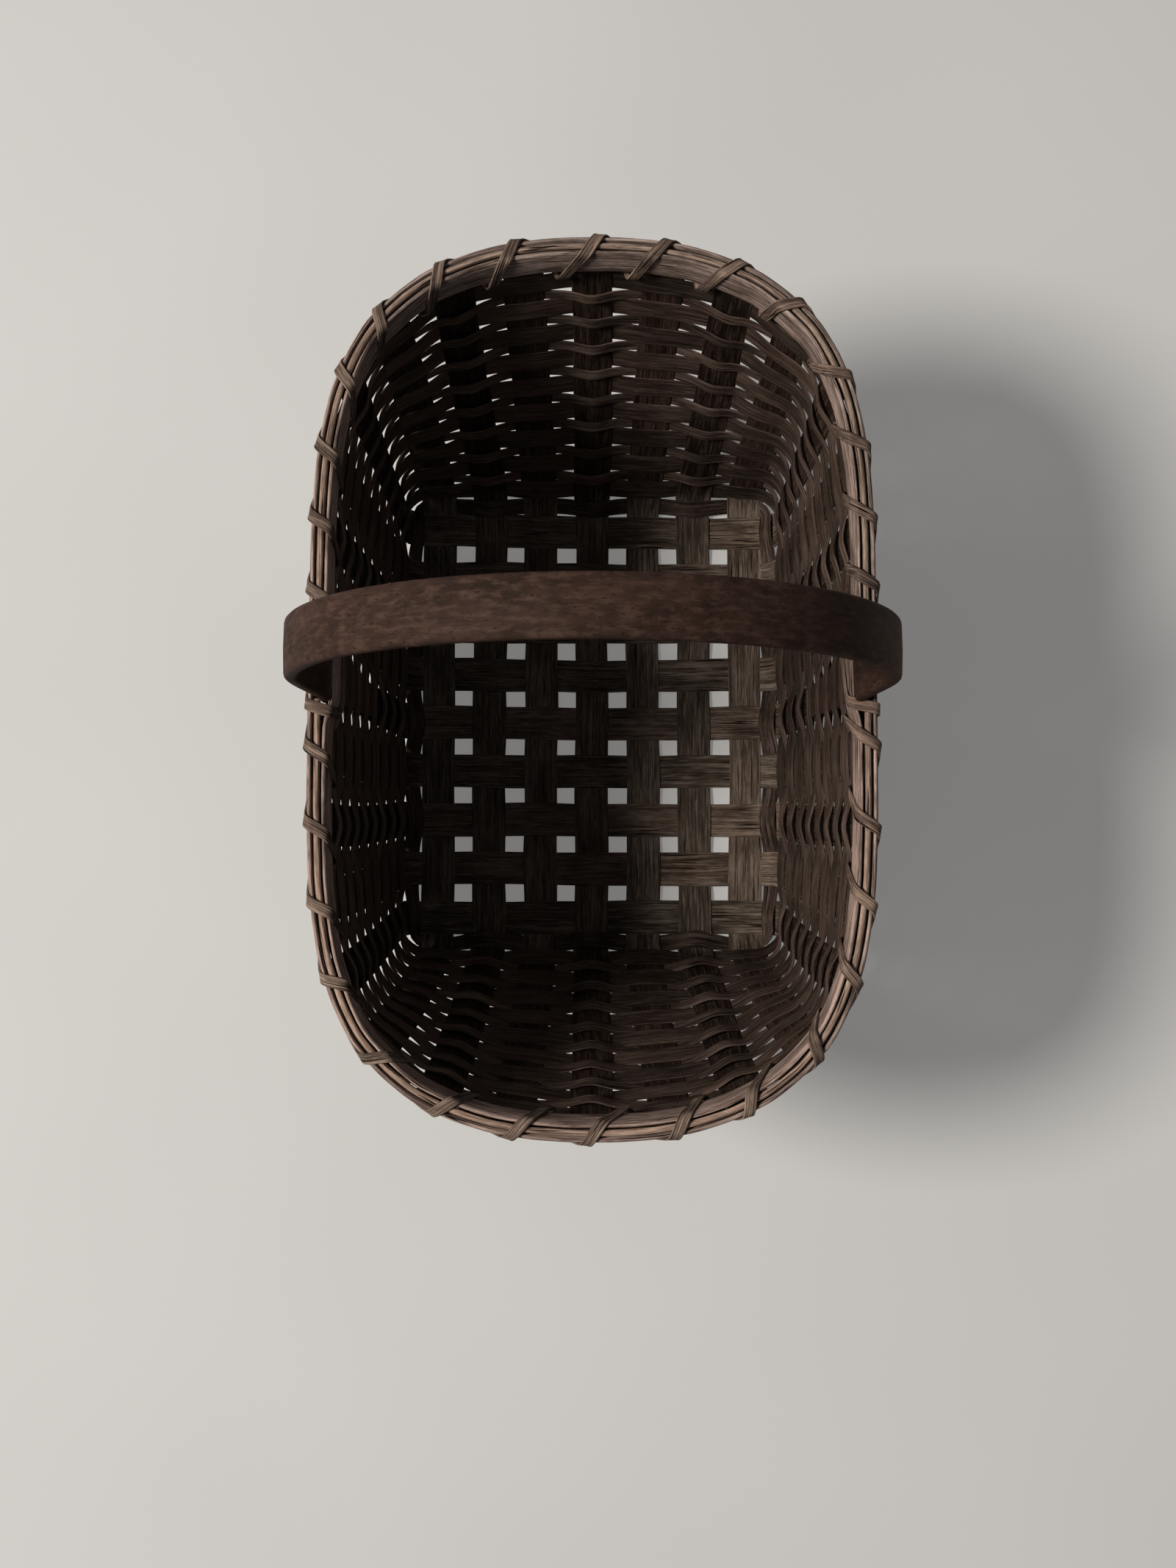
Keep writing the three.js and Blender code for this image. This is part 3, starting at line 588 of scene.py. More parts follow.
def handle_outline(width, thick):
    """A bar with round edges and slightly crowned faces."""
    radius = min(HANDLE_EDGE, LARGEST_EDGE * thick)
    w = width / 2 - radius
    t = thick / 2 - radius
    right = []
    for angle in np.radians([0, 30, 60, 90]):
        right.append((w + radius * math.cos(angle), t + radius * math.sin(angle)))
    left = [(-x, y) for x, y in reversed(right)]
    return whole_outline(right + [(0, thick / 2 + HANDLE_CROWN)] + left)


# Meshes

UV_NAME = "strip"
UV_SPREAD = 20  # each strip's grain starts at a place of its own, within this many metres


def strip_faces(stations, size, closed):
    """Corner numbers of a skin's faces, with a cap on each end of an open strip."""
    spans = stations if closed else stations - 1
    corner_count = stations * size
    here = (np.arange(spans) * size)[:, None] + np.arange(size)
    turned = np.roll(here, -1, axis=1)
    ahead = (here + size) % corner_count
    turned_ahead = (turned + size) % corner_count
    faces = np.stack([here, turned, turned_ahead, ahead], axis=-1).reshape(-1, 4).tolist()
    if not closed:
        faces.append(list(range(size))[::-1])
        faces.append(list(range(spans * size, corner_count)))
    return faces


def strip_uv(points, outline, closed):
    """Lengths along and round a strip at each corner of its faces. A cap takes those of one corner."""
    size = len(outline)
    spans = len(points) if closed else len(points) - 1
    along = lengths_along(np.concatenate([points, points[:1]]))
    around = lengths_along(np.concatenate([outline, outline[:1]]))
    u = np.broadcast_to(along[:spans, None], (spans, size))
    u_next = np.broadcast_to(along[1 : spans + 1, None], (spans, size))
    v = np.broadcast_to(around[None, :-1], (spans, size))
    v_next = np.broadcast_to(around[None, 1:], (spans, size))
    uv = np.stack([u, v, u, v_next, u_next, v_next, u_next, v], axis=-1).reshape(-1, 2)
    if closed:
        return uv
    return np.concatenate([uv, np.repeat(uv[:1], size, axis=0), np.repeat(uv[-1:], size, axis=0)])


def link_to_scene(name, data):
    thing = bpy.data.objects.new(name, data)
    bpy.context.scene.collection.objects.link(thing)
    return thing


def signed_volume(mesh):
    mesh.calc_loop_triangles()
    corners = np.array([v.co for v in mesh.vertices])
    triangles = np.array([t.vertices for t in mesh.loop_triangles])
    a, b, c = (corners[triangles[:, k]] for k in range(3))
    return float(np.einsum("ij,ij->", a, np.cross(b, c)))


def add_strip(name, points, wide, face, outline, closed, material, seed):
    """Skins an outline, or one for each point, along a line.

    The piece stands for the CAD node of the same name.
    """
    outlines = np.broadcast_to(outline, (len(points),) + np.shape(outline)[-2:])
    corners = points[:, None] + wide[:, None] * outlines[..., :1] + face[:, None] * outlines[..., 1:]
    faces = strip_faces(*corners.shape[:2], closed)
    shift = np.random.default_rng(seed).uniform(0, UV_SPREAD, 2)
    uv = strip_uv(points, outlines[0], closed) * MM + shift

    mesh = bpy.data.meshes.new(name + "_reed")
    mesh.from_pydata((corners.reshape(-1, 3) * MM).tolist(), [], faces)
    layer = mesh.uv_layers.new(name=UV_NAME)
    layer.data.foreach_set("uv", uv.astype(np.float32).ravel())
    mesh.polygons.foreach_set("use_smooth", [True] * len(faces))
    mesh.materials.append(material)
    if signed_volume(mesh) < 0:
        mesh.flip_normals()
    mesh.update()
    piece = link_to_scene("look_" + name, mesh)
    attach(piece, "root")
    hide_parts(name)


# Materials


def linear(hex_colour):
    """A written sRGB colour as linear RGBA."""
    channels = [(hex_colour >> shift & 255) / 255 for shift in (16, 8, 0)]
    return [c / 12.92 if c <= 0.04045 else ((c + 0.055) / 1.055) ** 2.4 for c in channels] + [1]


BLACK = [0, 0, 0, 1]
WHITE = [1, 1, 1, 1]


class Shader:
    """A material's node tree, with short calls for the nodes used here."""

    def __init__(self, name):
        self.material = bpy.data.materials.new(name)
        self.material.use_nodes = True
        self.tree = self.material.node_tree
        self.surface = self.tree.nodes["Principled BSDF"]

    def node(self, kind, **settings):
        made = self.tree.nodes.new(kind)
        for key, value in settings.items():
            setattr(made, key, value)
        return made

    def link(self, output, socket):
        self.tree.links.new(output, socket)

    def set_surface(self, values):
        for name, value in values.items():
            self.surface.inputs[name].default_value = value

    def strip_place(self):
        return self.node("ShaderNodeUVMap", uv_map=UV_NAME).outputs["UV"]

    def object_place(self):
        return self.node("ShaderNodeTexCoord").outputs["Object"]

    def noise(self, place, along, across, detail=3, roughness=0.55, distortion=0):
        """Noise that has `along` and `across` cells in a metre."""
        scaled = self.node("ShaderNodeVectorMath", operation="MULTIPLY")
        self.link(place, scaled.inputs[0])
        scaled.inputs[1].default_value = (along, across, 0)
        node = self.node("ShaderNodeTexNoise", noise_dimensions="2D")
        self.link(scaled.outputs["Vector"], node.inputs["Vector"])
        node.inputs["Scale"].default_value = 1
        node.inputs["Detail"].default_value = detail
        node.inputs["Roughness"].default_value = roughness
        node.inputs["Distortion"].default_value = distortion
        return node.outputs["Fac"]

    def math(self, operation, a, b):
        node = self.node("ShaderNodeMath", operation=operation)
        for socket, value in zip(node.inputs, (a, b)):
            if isinstance(value, (int, float)):
                socket.default_value = value
            else:
                self.link(value, socket)
        return node.outputs["Value"]

    def weighted(self, parts):
        """The sum of values times their weights."""
        total = 0
        for value, weight in parts:
            total = self.math("ADD", self.math("MULTIPLY", value, weight), total)
        return total

    def smooth_step(self, value, start, end):
        node = self.node("ShaderNodeMapRange", interpolation_type="SMOOTHSTEP")
        self.link(value, node.inputs["Value"])
        node.inputs["From Min"].default_value = start
        node.inputs["From Max"].default_value = end
        return node.outputs["Result"]

    def ramp(self, factor, stops):
        node = self.node("ShaderNodeValToRGB")
        self.link(factor, node.inputs["Fac"])
        elements = node.color_ramp.elements
        while len(elements) < len(stops):
            elements.new(0.5)
        for element, (place, colour) in zip(elements, stops):
            element.position = place
            element.color = colour
        return node.outputs["Color"]

    def mix(self, factor, a, b, blend="MIX"):
        node = self.node("ShaderNodeMix", data_type="RGBA", blend_type=blend)
        for socket, value in ((node.inputs[0], factor), (node.inputs[6], a), (node.inputs[7], b)):
            if isinstance(value, (float, list)):
                socket.default_value = value
            else:
                self.link(value, socket)
        return node.outputs[2]

    def bump(self, height, distance, strength):
        node = self.node("ShaderNodeBump")
        node.inputs["Distance"].default_value = distance
        node.inputs["Strength"].default_value = strength
        self.link(height, node.inputs["Height"])
        self.link(node.outputs["Normal"], self.surface.inputs["Normal"])


COOL_STRIP = [0.97, 1, 0.99, 1]  # strips lean towards one of these two tones
WARM_STRIP = [1.05, 0.98, 0.96, 1]
MOST_WORN = [0.75, 0.75, 0.75, 1]
SPLIT_COLOUR = 0x120D0B
SHADE_START = 0.003  # the painted wall shade sets in between these heights, in metres
SHADE_FULL = 0.02
REED_SHINE = {
    "Specular IOR Level": 0.1,
    "Specular Tint": (1, 0.74, 0.58, 1),
    "Anisotropic": 0.85,
    "Anisotropic Rotation": 0.25,
}


def reed_material(name, dark, middle, pale, roughness=0.62, wall_shade=None):
    """Stained split reed: fine fibres, short flecks, worn streaks and a few open splits along the strip.

    Each strip has a tone of its own, and painted shade darkens the stakes above the heel, where they lie in
    shade between the weavers.
    """
    shader = Shader(name)
    place = shader.strip_place()
    fibre = shader.noise(place, along=45, across=1400, roughness=0.65)
    fleck = shader.noise(place, along=190, across=1500, roughness=0.65)
    streak = shader.noise(place, along=14, across=420, detail=4, roughness=0.6)
    worn = shader.noise(place, along=42, across=780)
    tone = shader.noise(place, along=40, across=75)
    split = shader.noise(place, along=38, across=1300, detail=1, roughness=0.4)
    strip = shader.noise(place, along=0.8, across=3, detail=1)

    grain = shader.weighted([(fibre, 0.3), (fleck, 0.22), (streak, 0.3), (tone, 0.22), (strip, 0.16)])
    stain = shader.ramp(grain, [(0.49, linear(dark)), (0.6, linear(middle)), (0.72, linear(pale))])
    hue = shader.ramp(strip, [(0.34, COOL_STRIP), (0.5, WHITE), (0.66, WARM_STRIP)])
    stain = shader.mix(1.0, stain, hue, blend="MULTIPLY")
    stain = shader.mix(shader.ramp(worn, [(0.57, BLACK), (0.72, MOST_WORN)]), stain, linear(pale))
    # Painted shade: stakes above the heel are darkened, standing in for the shade between the weavers
    if wall_shade:
        height = shader.node("ShaderNodeSeparateXYZ")
        shader.link(shader.object_place(), height.inputs["Vector"])
        climb = shader.smooth_step(height.outputs["Z"], SHADE_START, SHADE_FULL)
        stain = shader.mix(1.0, stain, shader.mix(climb, WHITE, wall_shade), blend="MULTIPLY")
    open_split = shader.ramp(split, [(0.27, WHITE), (0.33, BLACK)])
    shader.link(shader.mix(open_split, stain, linear(SPLIT_COLOUR)), shader.surface.inputs["Base Color"])

    relief = shader.weighted([(fibre, 1), (fleck, 0.5), (streak, 1)])
    shader.bump(shader.math("SUBTRACT", relief, open_split), distance=0.00028, strength=0.6)
    fibre_run = shader.node("ShaderNodeTangent", direction_type="UV_MAP", uv_map=UV_NAME)
    shader.link(fibre_run.outputs["Tangent"], shader.surface.inputs["Tangent"])
    shader.set_surface({"Roughness": roughness, **REED_SHINE})
    return shader.material


WOOD_DARK = 0x251A14
WOOD_MIDDLE = 0x31231D
WOOD_PALE = 0x3F2E27
WOOD_WORN = 0x49372E
WOOD_PORE = 0x231813


def wood_material(name):
    """The handle's bent wood: a dull red-brown finish, mottled and worn paler in flecks, with short pores."""
    shader = Shader(name)
    place = shader.strip_place()
    grain = shader.noise(place, along=30, across=380, detail=5, roughness=0.7)
    mottle = shader.noise(place, along=70, across=130, detail=5, roughness=0.65, distortion=0.2)
    band = shader.noise(place, along=6, across=75, detail=2)
    fleck = shader.noise(place, along=130, across=620, detail=4, roughness=0.65)
    pore = shader.noise(place, along=330, across=1400, roughness=0.6)

    tone = shader.weighted([(grain, 0.28), (mottle, 0.42), (band, 0.3)])
    stops = [(0.36, linear(WOOD_DARK)), (0.5, linear(WOOD_MIDDLE)), (0.66, linear(WOOD_PALE))]
    wood = shader.ramp(tone, stops)
    wood = shader.mix(shader.ramp(fleck, [(0.46, BLACK), (0.76, WHITE)]), wood, linear(WOOD_WORN))
    open_pore = shader.ramp(pore, [(0.28, WHITE), (0.36, BLACK)])
    shader.link(shader.mix(open_pore, wood, linear(WOOD_PORE)), shader.surface.inputs["Base Color"])

    relief = shader.math("ADD", grain, mottle)
    shader.bump(shader.math("SUBTRACT", relief, open_pore), distance=0.0002, strength=0.4)
    shader.set_surface({"Roughness": 0.68, "Specular IOR Level": 0.05})
    return shader.material


# Painted shade for the stakes on the wall, standing in for the shade between the weavers
STAKE_WALL_SHADE = [0.32, 0.27, 0.26, 1]
STAKE_REED = reed_material("stake_reed", 0x2B241F, 0x4B4037, 0x776A5E, wall_shade=STAKE_WALL_SHADE)
WIDE_REED = reed_material("wide_reed", 0x19130F, 0x2E241F, 0x4F433B)
NARROW_REED = reed_material("narrow_reed", 0x1E1713, 0x372C26, 0x5D4F47)
RIM_REED = reed_material("rim_reed", 0x3D332D, 0x6B5C54, 0xAB978B, roughness=0.52)
FILLER_REED = reed_material("filler_reed", 0x4A3C34, 0x7E6A5D, 0xAF9886, roughness=0.52)
LASH_REED = reed_material("lashing_reed", 0x352B25, 0x5C4D44, 0x95806F, roughness=0.5)
HANDLE_WOOD = wood_material("handle_wood")

# Seeds: a piece's own for its wander, its wraps' slips and its grain, and the next one for its width

LONG_SEED = 100
CROSS_SEED = 200
ROW_SEED = 300
TOP_ROW_SEED = 320
OUTER_RIM_SEED = 400
INNER_RIM_SEED = 410
FRONT_FILLER_SEED = 420
BACK_FILLER_SEED = 430
FRONT_LASH_SEED = 500
BACK_LASH_SEED = 510
HANDLE_SEED = 600

# How far strips wander from their lines, and the share by which their widths vary

STAKE_WANDER = 0.35
NARROW_WANDER = 0.45
WIDE_WANDER = 0.35
TOP_ROW_WANDER = 0.1
RIM_WANDER = 0.15
WIDTH_WANDER = 0.02


def uneven(outline, seed, count):
    """An outline for each point of a line, a little wider here and narrower there."""
    return outline * (1 + wander(seed, count, WIDTH_WANDER))[:, None, None]


# Stakes


def upright_stations(upright):
    stations = []
    for s in np.arange(upright.lengths[1], upright.length, LINE_STEP / 2):
        found = upright.at(s)
        stations.append((found.point + found.inward * upright.lift(s), found.wide))
    top = upright.at(upright.length)
    stations.append((top.point, top.wide))
    return stations


def add_stake(name, start, end, crossings, across, direction, seed):
    stations = upright_stations(start)[::-1]
    for point, on_top in crossings:
        height = UP * (WEAVE_LIFT if on_top else -WEAVE_LIFT)
        for side in (-1, 1):
            stations.append((point + direction * side * CROSSING_HALF + height, across))
    stations += upright_stations(end)
    points, wide = even_line(*zip(*stations), LINE_STEP, closed=False)
    points = points + wide * wander(seed, len(points), STAKE_WANDER)[:, None]
    face = unit(np.cross(wide, tangents(points, closed=False)))
    outlines = uneven(reed_outline(STAKE_WIDTH, STAKE_LOOK), seed + 1, len(points))
    climb = np.clip(points[:, 2] / HEEL_LENGTH, 0, 1)
    outlines[..., 0] *= (1 + climb * WALL_SPREAD / STAKE_WIDTH)[:, None]
    add_strip(name, points, wide, face, outlines, False, STAKE_REED, seed)


def crossing(i, j):
    return vector(long_x(i), cross_y(j), BASE_Z)


def add_long_stake(i):
    crossings = [(crossing(i, j), is_long_on_top(i, j)) for j in range(1, CROSS_COUNT + 1)]
    ends = (BACK[i - 1], FRONT[i - 1])
    add_stake(f"long_stake_{i}", *ends, crossings, vector(1, 0, 0), vector(0, -1, 0), LONG_SEED + i)


def add_cross_stake(j):
    crossings = [(crossing(i, j), not is_long_on_top(i, j)) for i in range(1, LONG_COUNT + 1)]
    ends = (LEFT[j - 1], RIGHT[j - 1])
    add_stake(f"cross_stake_{j}", *ends, crossings, vector(0, 1, 0), vector(1, 0, 0), CROSS_SEED + j)


for i in range(1, LONG_COUNT + 1):
    add_long_stake(i)
for j in range(1, CROSS_COUNT + 1):
    add_cross_stake(j)


# Weavers and rim bands: closed rings


def corner_share(points):
    """For each point of a ring, 0 on its sides and ends and 1 at its corners."""
    flat = points[:, :2]
    middle = (flat.max(axis=0) + flat.min(axis=0)) / 2
    product = np.abs(flat - middle).prod(axis=1)
    share = product / product.max()
    return np.clip((share - CORNER_START) / (CORNER_FULL - CORNER_START), 0, 1)


def row_spread(points):
    """How much wider than in the CAD a row is drawn at each of its points."""
    to_back = points[:, 1] / (2 * RIM_HALF_LENGTH) + 0.5
    along_wall = lerp(FRONT_SPREAD, BACK_SPREAD, to_back)
    return lerp(along_wall, CORNER_SPREAD, corner_share(points))


def ring_line(track, seed, unevenness):
    """A ring's points, with its directions up and inward at each."""
    stations = [track_frame(track, upright, side) for upright in UPRIGHTS for side in (-1, 0, 1)]
    points, up = even_line([f.point for f in stations], [f.up for f in stations], LINE_STEP, closed=True)
    inward = unit(np.cross(tangents(points, closed=True), up))
    points = points + up * wander(seed, len(points), unevenness, RING_WAVES)[:, None]
    return points, up, inward


def add_row(name, row, kind, seed):
    points, up, inward = ring_line(row_track(row), seed, kind.wander)
    width = row_width(row) + (HEEL_SPREAD if row == 0 else 0)
    outlines = uneven(reed_outline(width, WEAVER_LOOK), seed + 1, len(points))
    outlines[..., 0] *= (1 + row_spread(points) / width)[:, None]
    add_strip(name, points, up, inward, outlines, True, kind.material, seed)


def add_rim_band(name, track, outline, seed):
    points, up, inward = ring_line(track, seed, RIM_WANDER)
    outlines = uneven(outline, seed + 1, len(points))
    add_strip(name, points, up, inward, outlines, True, RIM_REED, seed)


RowKind = namedtuple("RowKind", "material slot wander")
NARROW_ROW = RowKind(NARROW_REED, "narrow_reed", NARROW_WANDER)
WIDE_ROW = RowKind(WIDE_REED, "wide_reed", WIDE_WANDER)
LAST_ROW = RowKind(WIDE_REED, "wide_reed", TOP_ROW_WANDER)

for row in range(TOP_ROW):
    number = row // 2 + 1
    if is_narrow_side(row):
        add_row(f"narrow_weaver_{number}", row, NARROW_ROW, ROW_SEED + row)
    else:
        add_row(f"wide_weaver_{number}", row, WIDE_ROW, ROW_SEED + row)
add_row("top_weaver", TOP_ROW, LAST_ROW, TOP_ROW_SEED)
add_rim_band("outer_rim", OUTER_TRACK, band_outline(RIM_HEIGHT, OUTER_RIM_THICK, -1), OUTER_RIM_SEED)
add_rim_band("inner_rim", INNER_TRACK, band_outline(RIM_HEIGHT, INNER_RIM_THICK, 1), INNER_RIM_SEED)


# Fillers: round reed between the bands, from one leg of the handle to the other

FILLER_SIDES = 10


def add_filler(name, first, seed):
    stations = [track_frame(FILLER_TRACK, UPRIGHTS[first % len(UPRIGHTS)], 1)]
    for step in range(1, HALF_ROUND):
        upright = UPRIGHTS[(first + step) % len(UPRIGHTS)]
        stations += [track_frame(FILLER_TRACK, upright, side) for side in (-1, 1)]
    stations.append(track_frame(FILLER_TRACK, UPRIGHTS[(first + HALF_ROUND) % len(UPRIGHTS)], -1))
    points, up = even_line([f.point for f in stations], [f.up for f in stations], LINE_STEP, closed=False)
    inward = unit(np.cross(tangents(points, closed=False), up))
    points = points + up * wander(seed, len(points), RIM_WANDER)[:, None]
    outline = round_outline(FILLER_LOOK, FILLER_SIDES)
    add_strip(name, points, up, inward, outline, False, FILLER_REED, seed)


add_filler("rim_filler_front", RIGHT_HANDLE, FRONT_FILLER_SEED)
add_filler("rim_filler_back", RIGHT_HANDLE + HALF_ROUND, BACK_FILLER_SEED)


# Lashing: in under the top weaver, up the inner band, slanting over the rim, and down the outer band


def lash_in(upright):
    return inner_offset(upright) + INNER_RIM_THICK / 2 + LASH_FIT + LASH_THICK / 2


def lash_out(upright):
    return -(OUTER_OFFSET + OUTER_RIM_THICK / 2 + LASH_FIT + LASH_THICK / 2)


def lash_low(upright):
    return row_at(upright, TOP_ROW) - WIDE_WIDTH / 2 - LASH_SLOT / 2


def lash_high(upright):
    return upright.at_height(LASH_TOP)


def lash_at(share):
    return lambda upright: lerp(lash_low(upright), lash_high(upright), share)


# A turn of a wrap: how many uprights past the gap it lies, its height and its offset inward, how far it is
# raised and set inward from them, and the angle that the strip's outer face looks at, up from inward

Turn = namedtuple("Turn", "past height offset raised inset look")
LOOP = [
    Turn(-0.035, lash_low, lash_out, 0, LASH_TURN, 247.5),
    Turn(0.035, lash_low, lash_in, 0, -LASH_TURN, -67.5),
    Turn(0.05, lash_low, lash_in, LASH_TURN, 0, -22.5),
    Turn(0.31, lash_high, lash_in, -LASH_CORNER, 0, 22.5),
    Turn(0.335, lash_high, lash_in, 0, -LASH_CORNER, 67.5),
    Turn(0.51, lash_high, lash_out, 0, LASH_CORNER, 112.5),
    Turn(0.535, lash_high, lash_out, -LASH_CORNER, 0, 157.5),
    Turn(0.5 + FLAT_HALF, lash_at(0.5), lash_out, 0, 0, 180),
    Turn(0.955, lash_low, lash_out, LASH_TURN, 0, 202.5),
]
RIGHT_LEG_LOOP = LOOP[:3] + [  # crosses the rim just in front of the leg, after passing its inside
    Turn(0.5 - FLAT_HALF, lash_at(0.16), lash_in, 0, 0, 0),
    Turn(0.5 + FLAT_HALF, lash_at(0.8), lash_in, 0, 0, 0),
    Turn(0.86, lash_high, lash_in, -LASH_CORNER, 0, 22.5),
    Turn(0.88, lash_high, lash_in, 0, -LASH_CORNER, 67.5),
    Turn(0.96, lash_high, lash_out, 0, LASH_CORNER, 112.5),
    Turn(0.97, lash_high, lash_out, -LASH_CORNER, 0, 157.5),
    Turn(0.98, lash_low, lash_out, LASH_TURN, 0, 202.5),
]
LEFT_LEG_LOOP = LOOP[:2] + [  # crosses the rim just in front of the leg, before passing its outside
    Turn(0.02, lash_low, lash_in, LASH_TURN, 0, -22.5),
    Turn(-0.04, lash_high, lash_in, -LASH_CORNER, 0, 22.5),
    Turn(-0.03, lash_high, lash_in, 0, -LASH_CORNER, 67.5),
    Turn(0.09, lash_high, lash_out, 0, LASH_CORNER, 112.5),
    Turn(0.1, lash_high, lash_out, -LASH_CORNER, 0, 157.5),
    Turn(0.5 - FLAT_HALF, lash_at(0.75), lash_out, 0, 0, 180),
    Turn(0.5 + FLAT_HALF, lash_at(0.2), lash_out, 0, 0, 180),
    LOOP[-1],
]
LASH_SLIP = 0.09  # a wrap crosses the rim up to this far from its even place, in uprights
LASH_NEAR = 0.02  # the strip's direction is taken between places this far to each side, in uprights


def lash_station(gap, turn):
    track = Track(
        height=lambda upright: turn.height(upright) + turn.raised,
        reach=inner_reach,
        offset=lambda upright: turn.offset(upright) + turn.inset,
    )
    place = gap + turn.past
    point, up = track_at(track, place)
    clockwise = track_at(track, place + LASH_NEAR)[0] - track_at(track, place - LASH_NEAR)[0]
    inward = unit(np.cross(clockwise, up))
    look = math.radians(turn.look)
    return point, inward * math.cos(look) + up * math.sin(look)


def add_lashing(name, leg, leg_loop, seed):
    rng = np.random.default_rng(seed)
    stations = [lash_station(leg - 0.5, turn) for turn in leg_loop]
    for loop in range(1, HALF_ROUND):
        slip = rng.uniform(-LASH_SLIP, LASH_SLIP)
        for turn in LOOP:
            crosses = turn.height is lash_high
            stations.append(lash_station(leg - 0.5 + loop + (slip if crosses else 0), turn))
    points, look = even_line(*zip(*stations), LASH_STEP, closed=False)
    run = tangents(points, closed=False)
    wide = unit(np.cross(run, look))
    face = unit(np.cross(wide, run))
    outline = grooved_outline(LASH_WIDTH, LASH_THICK)
    add_strip(name, points, wide, face, outline, False, LASH_REED, seed)


add_lashing("rim_lashing_front", RIGHT_HANDLE, RIGHT_LEG_LOOP, FRONT_LASH_SEED)
add_lashing("rim_lashing_back", RIGHT_HANDLE + HALF_ROUND, LEFT_LEG_LOOP, BACK_LASH_SEED)


# Handle: a tail down the inside of each middle cross stake, a leg between the rim bands, and the hoop

HOOP_HALF_WIDTH = RIM_HALF_WIDTH + HOOP_OVERHANG - HANDLE_THICK / 2
HOOP_Z = RIM_TOP + LEG_RISE
HOOP_RISE = HANDLE_TOP - HANDLE_THICK / 2 - HOOP_Z
HOOP_START = math.radians(10)
HOOP_NEAR = 0.01  # the hoop's direction is taken between angles this far to each side
LEG_SPREAD = 4.6  # a leg is drawn this much wider and
LEG_SWELL = 1.4  # this much thicker between the rim bands
SWELL_RUN = 5  # and comes to that over this length
TAIL_STEPS = 45
LEG_STEPS = 13
HOOP_STEPS = 40


def hoop_point(angle):
    z = HOOP_Z + HOOP_RISE * math.sin(angle)
    return vector(HOOP_HALF_WIDTH * math.cos(angle), BASE_SHIFT + HOOP_SHIFT, z)


def tail_stations(upright):
    """Points, widths and thicknesses from the tail's tip to the rim."""
    stations = []
    for s in np.linspace(upright.length - TAIL_LENGTH, upright.length, TAIL_STEPS):
        swell = max(0, 1 - (upright.length - s) / SWELL_RUN)
        width = tail_width(upright, s) + LEG_SPREAD * swell
        thick = tail_thick(upright, s) + LEG_SWELL * swell
        found = upright.at(s)
        inset = STAKE_THICK / 2 + FIT + thick / 2
        stations.append((found.point + found.inward * inset, width, thick))
    return stations


def leg_stations(tail):
    """The same from the tail's end to the hoop, on a curve that follows both."""
    start = tail[-1][0]
    end = hoop_point(HOOP_START)
    tail_direction = unit(start - tail[-2][0])
    hoop_direction = unit(hoop_point(HOOP_START + HOOP_NEAR) - hoop_point(HOOP_START - HOOP_NEAR))
    pull = np.linalg.norm(end - start) / 3
    knots = [start, start + tail_direction * pull, end - hoop_direction * pull, end]
    stations = []
    for share in np.linspace(0, 1, LEG_STEPS)[1:]:
        weights = [(1 - share) ** 3, 3 * share * (1 - share) ** 2, 3 * share**2 * (1 - share), share**3]
        point = sum(weight * knot for weight, knot in zip(weights, knots))
        width = lerp(LEG_WIDTH + LEG_SPREAD, HANDLE_WIDTH, share)
        thick = lerp(TAIL_THICK + LEG_SWELL, HANDLE_THICK, min(2 * share, 1))
        stations.append((point, width, thick))
    return stations


def hoop_stations():
    """The same from the leg's end to the top of the hoop."""
    angles = np.linspace(HOOP_START, math.pi / 2, HOOP_STEPS)[1:]
    return [(hoop_point(angle), HANDLE_WIDTH, HANDLE_THICK) for angle in angles]


def add_handle():
    tail = tail_stations(UPRIGHTS[RIGHT_HANDLE])
    right = tail + leg_stations(tail) + hoop_stations()
    left = [(point * [-1, 1, 1], width, thick) for point, width, thick in right[-2::-1]]
    stations = right + left
    points = np.array([point for point, width, thick in stations])
    wide = np.repeat(vector(0, 1, 0)[None], len(points), axis=0)
    face = unit(np.cross(wide, tangents(points, closed=False)))
    outlines = np.array([handle_outline(width, thick) for point, width, thick in stations])
    add_strip("handle", points, wide, face, outlines, False, HANDLE_WOOD, HANDLE_SEED)


add_handle()


# Studio, in metres: a plain pale floor, one soft lamp from the left, a faint sky and the camera above

FLOOR_HALF = 6
FLOOR_Z = -0.0004  # just under the basket
PALE_PAPER = [0.6, 0.585, 0.56, 1]
CLOUDED_PAPER = [0.57, 0.555, 0.53, 1]
CLOUDS = 3  # in a metre
OWN_SHARE = 0.3
LAMP_PLACE = (-1.88, -0.1, 2.35)
LAMP_SIZE = 0.8
LAMP_POWER = 108
LAMP_COLOUR = (1, 0.97, 0.93)
SKY_COLOUR = (0.78, 0.85, 1, 1)
SKY_STRENGTH = 0.11
BACKDROP_COLOUR = (0.6, 0.58, 0.55, 1)
CAMERA_PLACE = (-0.0016, -0.1147, 0.9962)
CAMERA_TILT = math.radians(5.2)
CAMERA_TURN = 0.002
CAMERA_LENS = 46.5
CAMERA_SENSOR = 36
CAMERA_NEAREST = 0.01


def seen_rays(tree):
    """A value that is 1 for rays from the camera, from a shine or through glass, and 0 for other light."""
    path = tree.nodes.new("ShaderNodeLightPath")
    seen = path.outputs["Is Camera Ray"]
    for kind in ("Is Glossy Ray", "Is Transmission Ray"):
        either = tree.nodes.new("ShaderNodeMath")
        either.operation = "MAXIMUM"
        tree.links.new(seen, either.inputs[0])
        tree.links.new(path.outputs[kind], either.inputs[1])
        seen = either.outputs["Value"]
    return seen


def blend_shaders(tree, share, first, second, output):
    blend = tree.nodes.new("ShaderNodeMixShader")
    tree.links.new(share, blend.inputs["Fac"])
    tree.links.new(first, blend.inputs[1])
    tree.links.new(second, blend.inputs[2])
    tree.links.new(blend.outputs["Shader"], tree.nodes[output].inputs["Surface"])


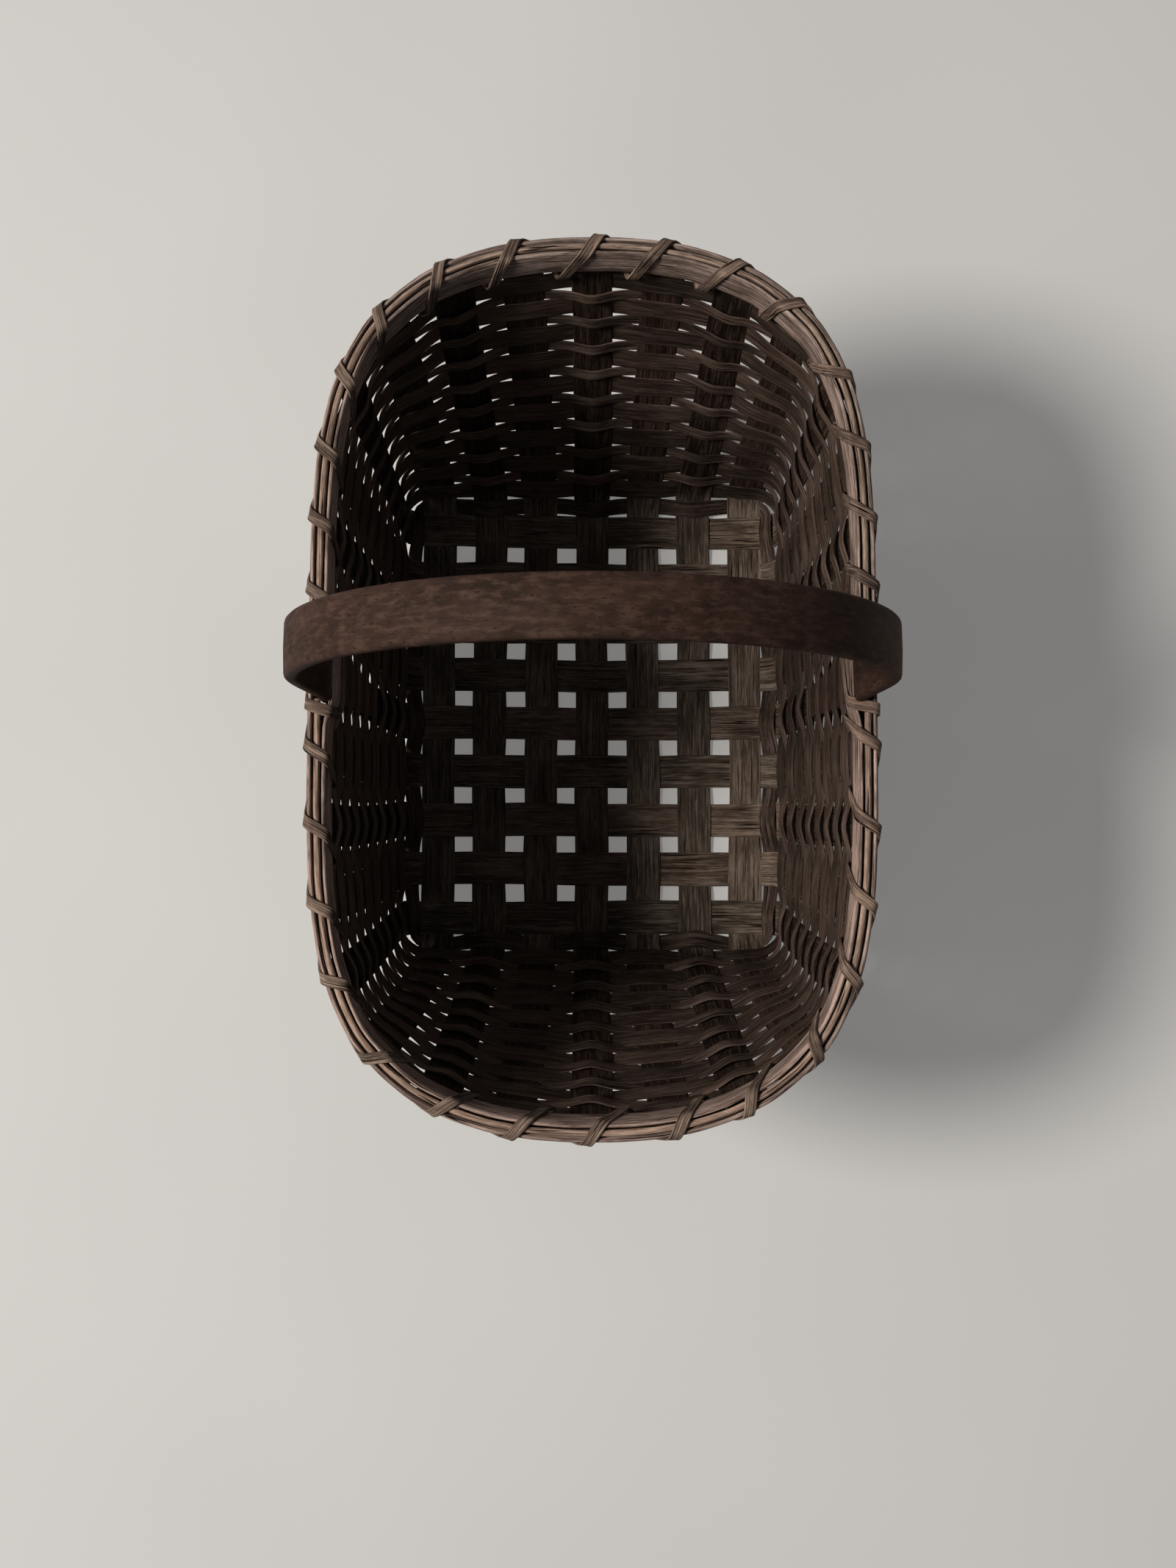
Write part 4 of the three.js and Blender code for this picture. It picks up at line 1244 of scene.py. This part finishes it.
def floor_material():
    """Plain pale paper, faintly clouded. A share of its paleness is its own where it is seen, so that the
    shadow beside the basket stays soft. The rest of it takes the light and keeps the shadow.
    """
    shader = Shader("paper")
    cloud = shader.noise(shader.object_place(), along=CLOUDS, across=CLOUDS, detail=2)
    paper = shader.ramp(cloud, [(0.3, CLOUDED_PAPER), (0.7, PALE_PAPER)])
    diffuse = shader.node("ShaderNodeBsdfDiffuse")
    shader.link(paper, diffuse.inputs["Color"])
    glow = shader.node("ShaderNodeEmission")
    shader.link(paper, glow.inputs["Color"])
    share = shader.math("MULTIPLY", seen_rays(shader.tree), OWN_SHARE)
    blend_shaders(shader.tree, share, diffuse.outputs["BSDF"], glow.outputs["Emission"], "Material Output")
    return shader.material


def add_floor():
    corners = [(x * FLOOR_HALF, y * FLOOR_HALF, FLOOR_Z) for x, y in ((-1, -1), (1, -1), (1, 1), (-1, 1))]
    mesh = bpy.data.meshes.new("floor")
    mesh.from_pydata(corners, [], [(0, 1, 2, 3)])
    mesh.materials.append(floor_material())
    floor = link_to_scene("floor", mesh)


def add_lamp():
    light = bpy.data.lights.new("key", "AREA")
    light.shape = "DISK"
    light.size = LAMP_SIZE
    light.energy = LAMP_POWER
    light.color = LAMP_COLOUR
    lamp = link_to_scene("key", light)
    lamp.location = LAMP_PLACE
    lamp.rotation_euler = (-Vector(LAMP_PLACE)).to_track_quat("-Z", "Y").to_euler()  # aimed at the origin


def add_world():
    world = bpy.data.worlds.new("studio")
    world.use_nodes = True
    tree = world.node_tree
    sky = tree.nodes["Background"]
    sky.inputs["Color"].default_value = SKY_COLOUR
    sky.inputs["Strength"].default_value = SKY_STRENGTH
    backdrop = tree.nodes.new("ShaderNodeBackground")
    backdrop.inputs["Color"].default_value = BACKDROP_COLOUR
    shaders = (sky.outputs["Background"], backdrop.outputs["Background"])
    blend_shaders(tree, seen_rays(tree), *shaders, "World Output")
    bpy.context.scene.world = world


def add_camera():
    data = bpy.data.cameras.new("camera")
    data.lens = CAMERA_LENS
    data.sensor_width = CAMERA_SENSOR
    data.clip_start = CAMERA_NEAREST
    camera = link_to_scene("camera", data)
    camera.location = CAMERA_PLACE
    camera.rotation_euler = (CAMERA_TILT, 0, CAMERA_TURN)
    bpy.context.scene.camera = camera


add_floor()
add_lamp()
add_world()
add_camera()
bpy.context.scene.view_settings.view_transform = "Standard"
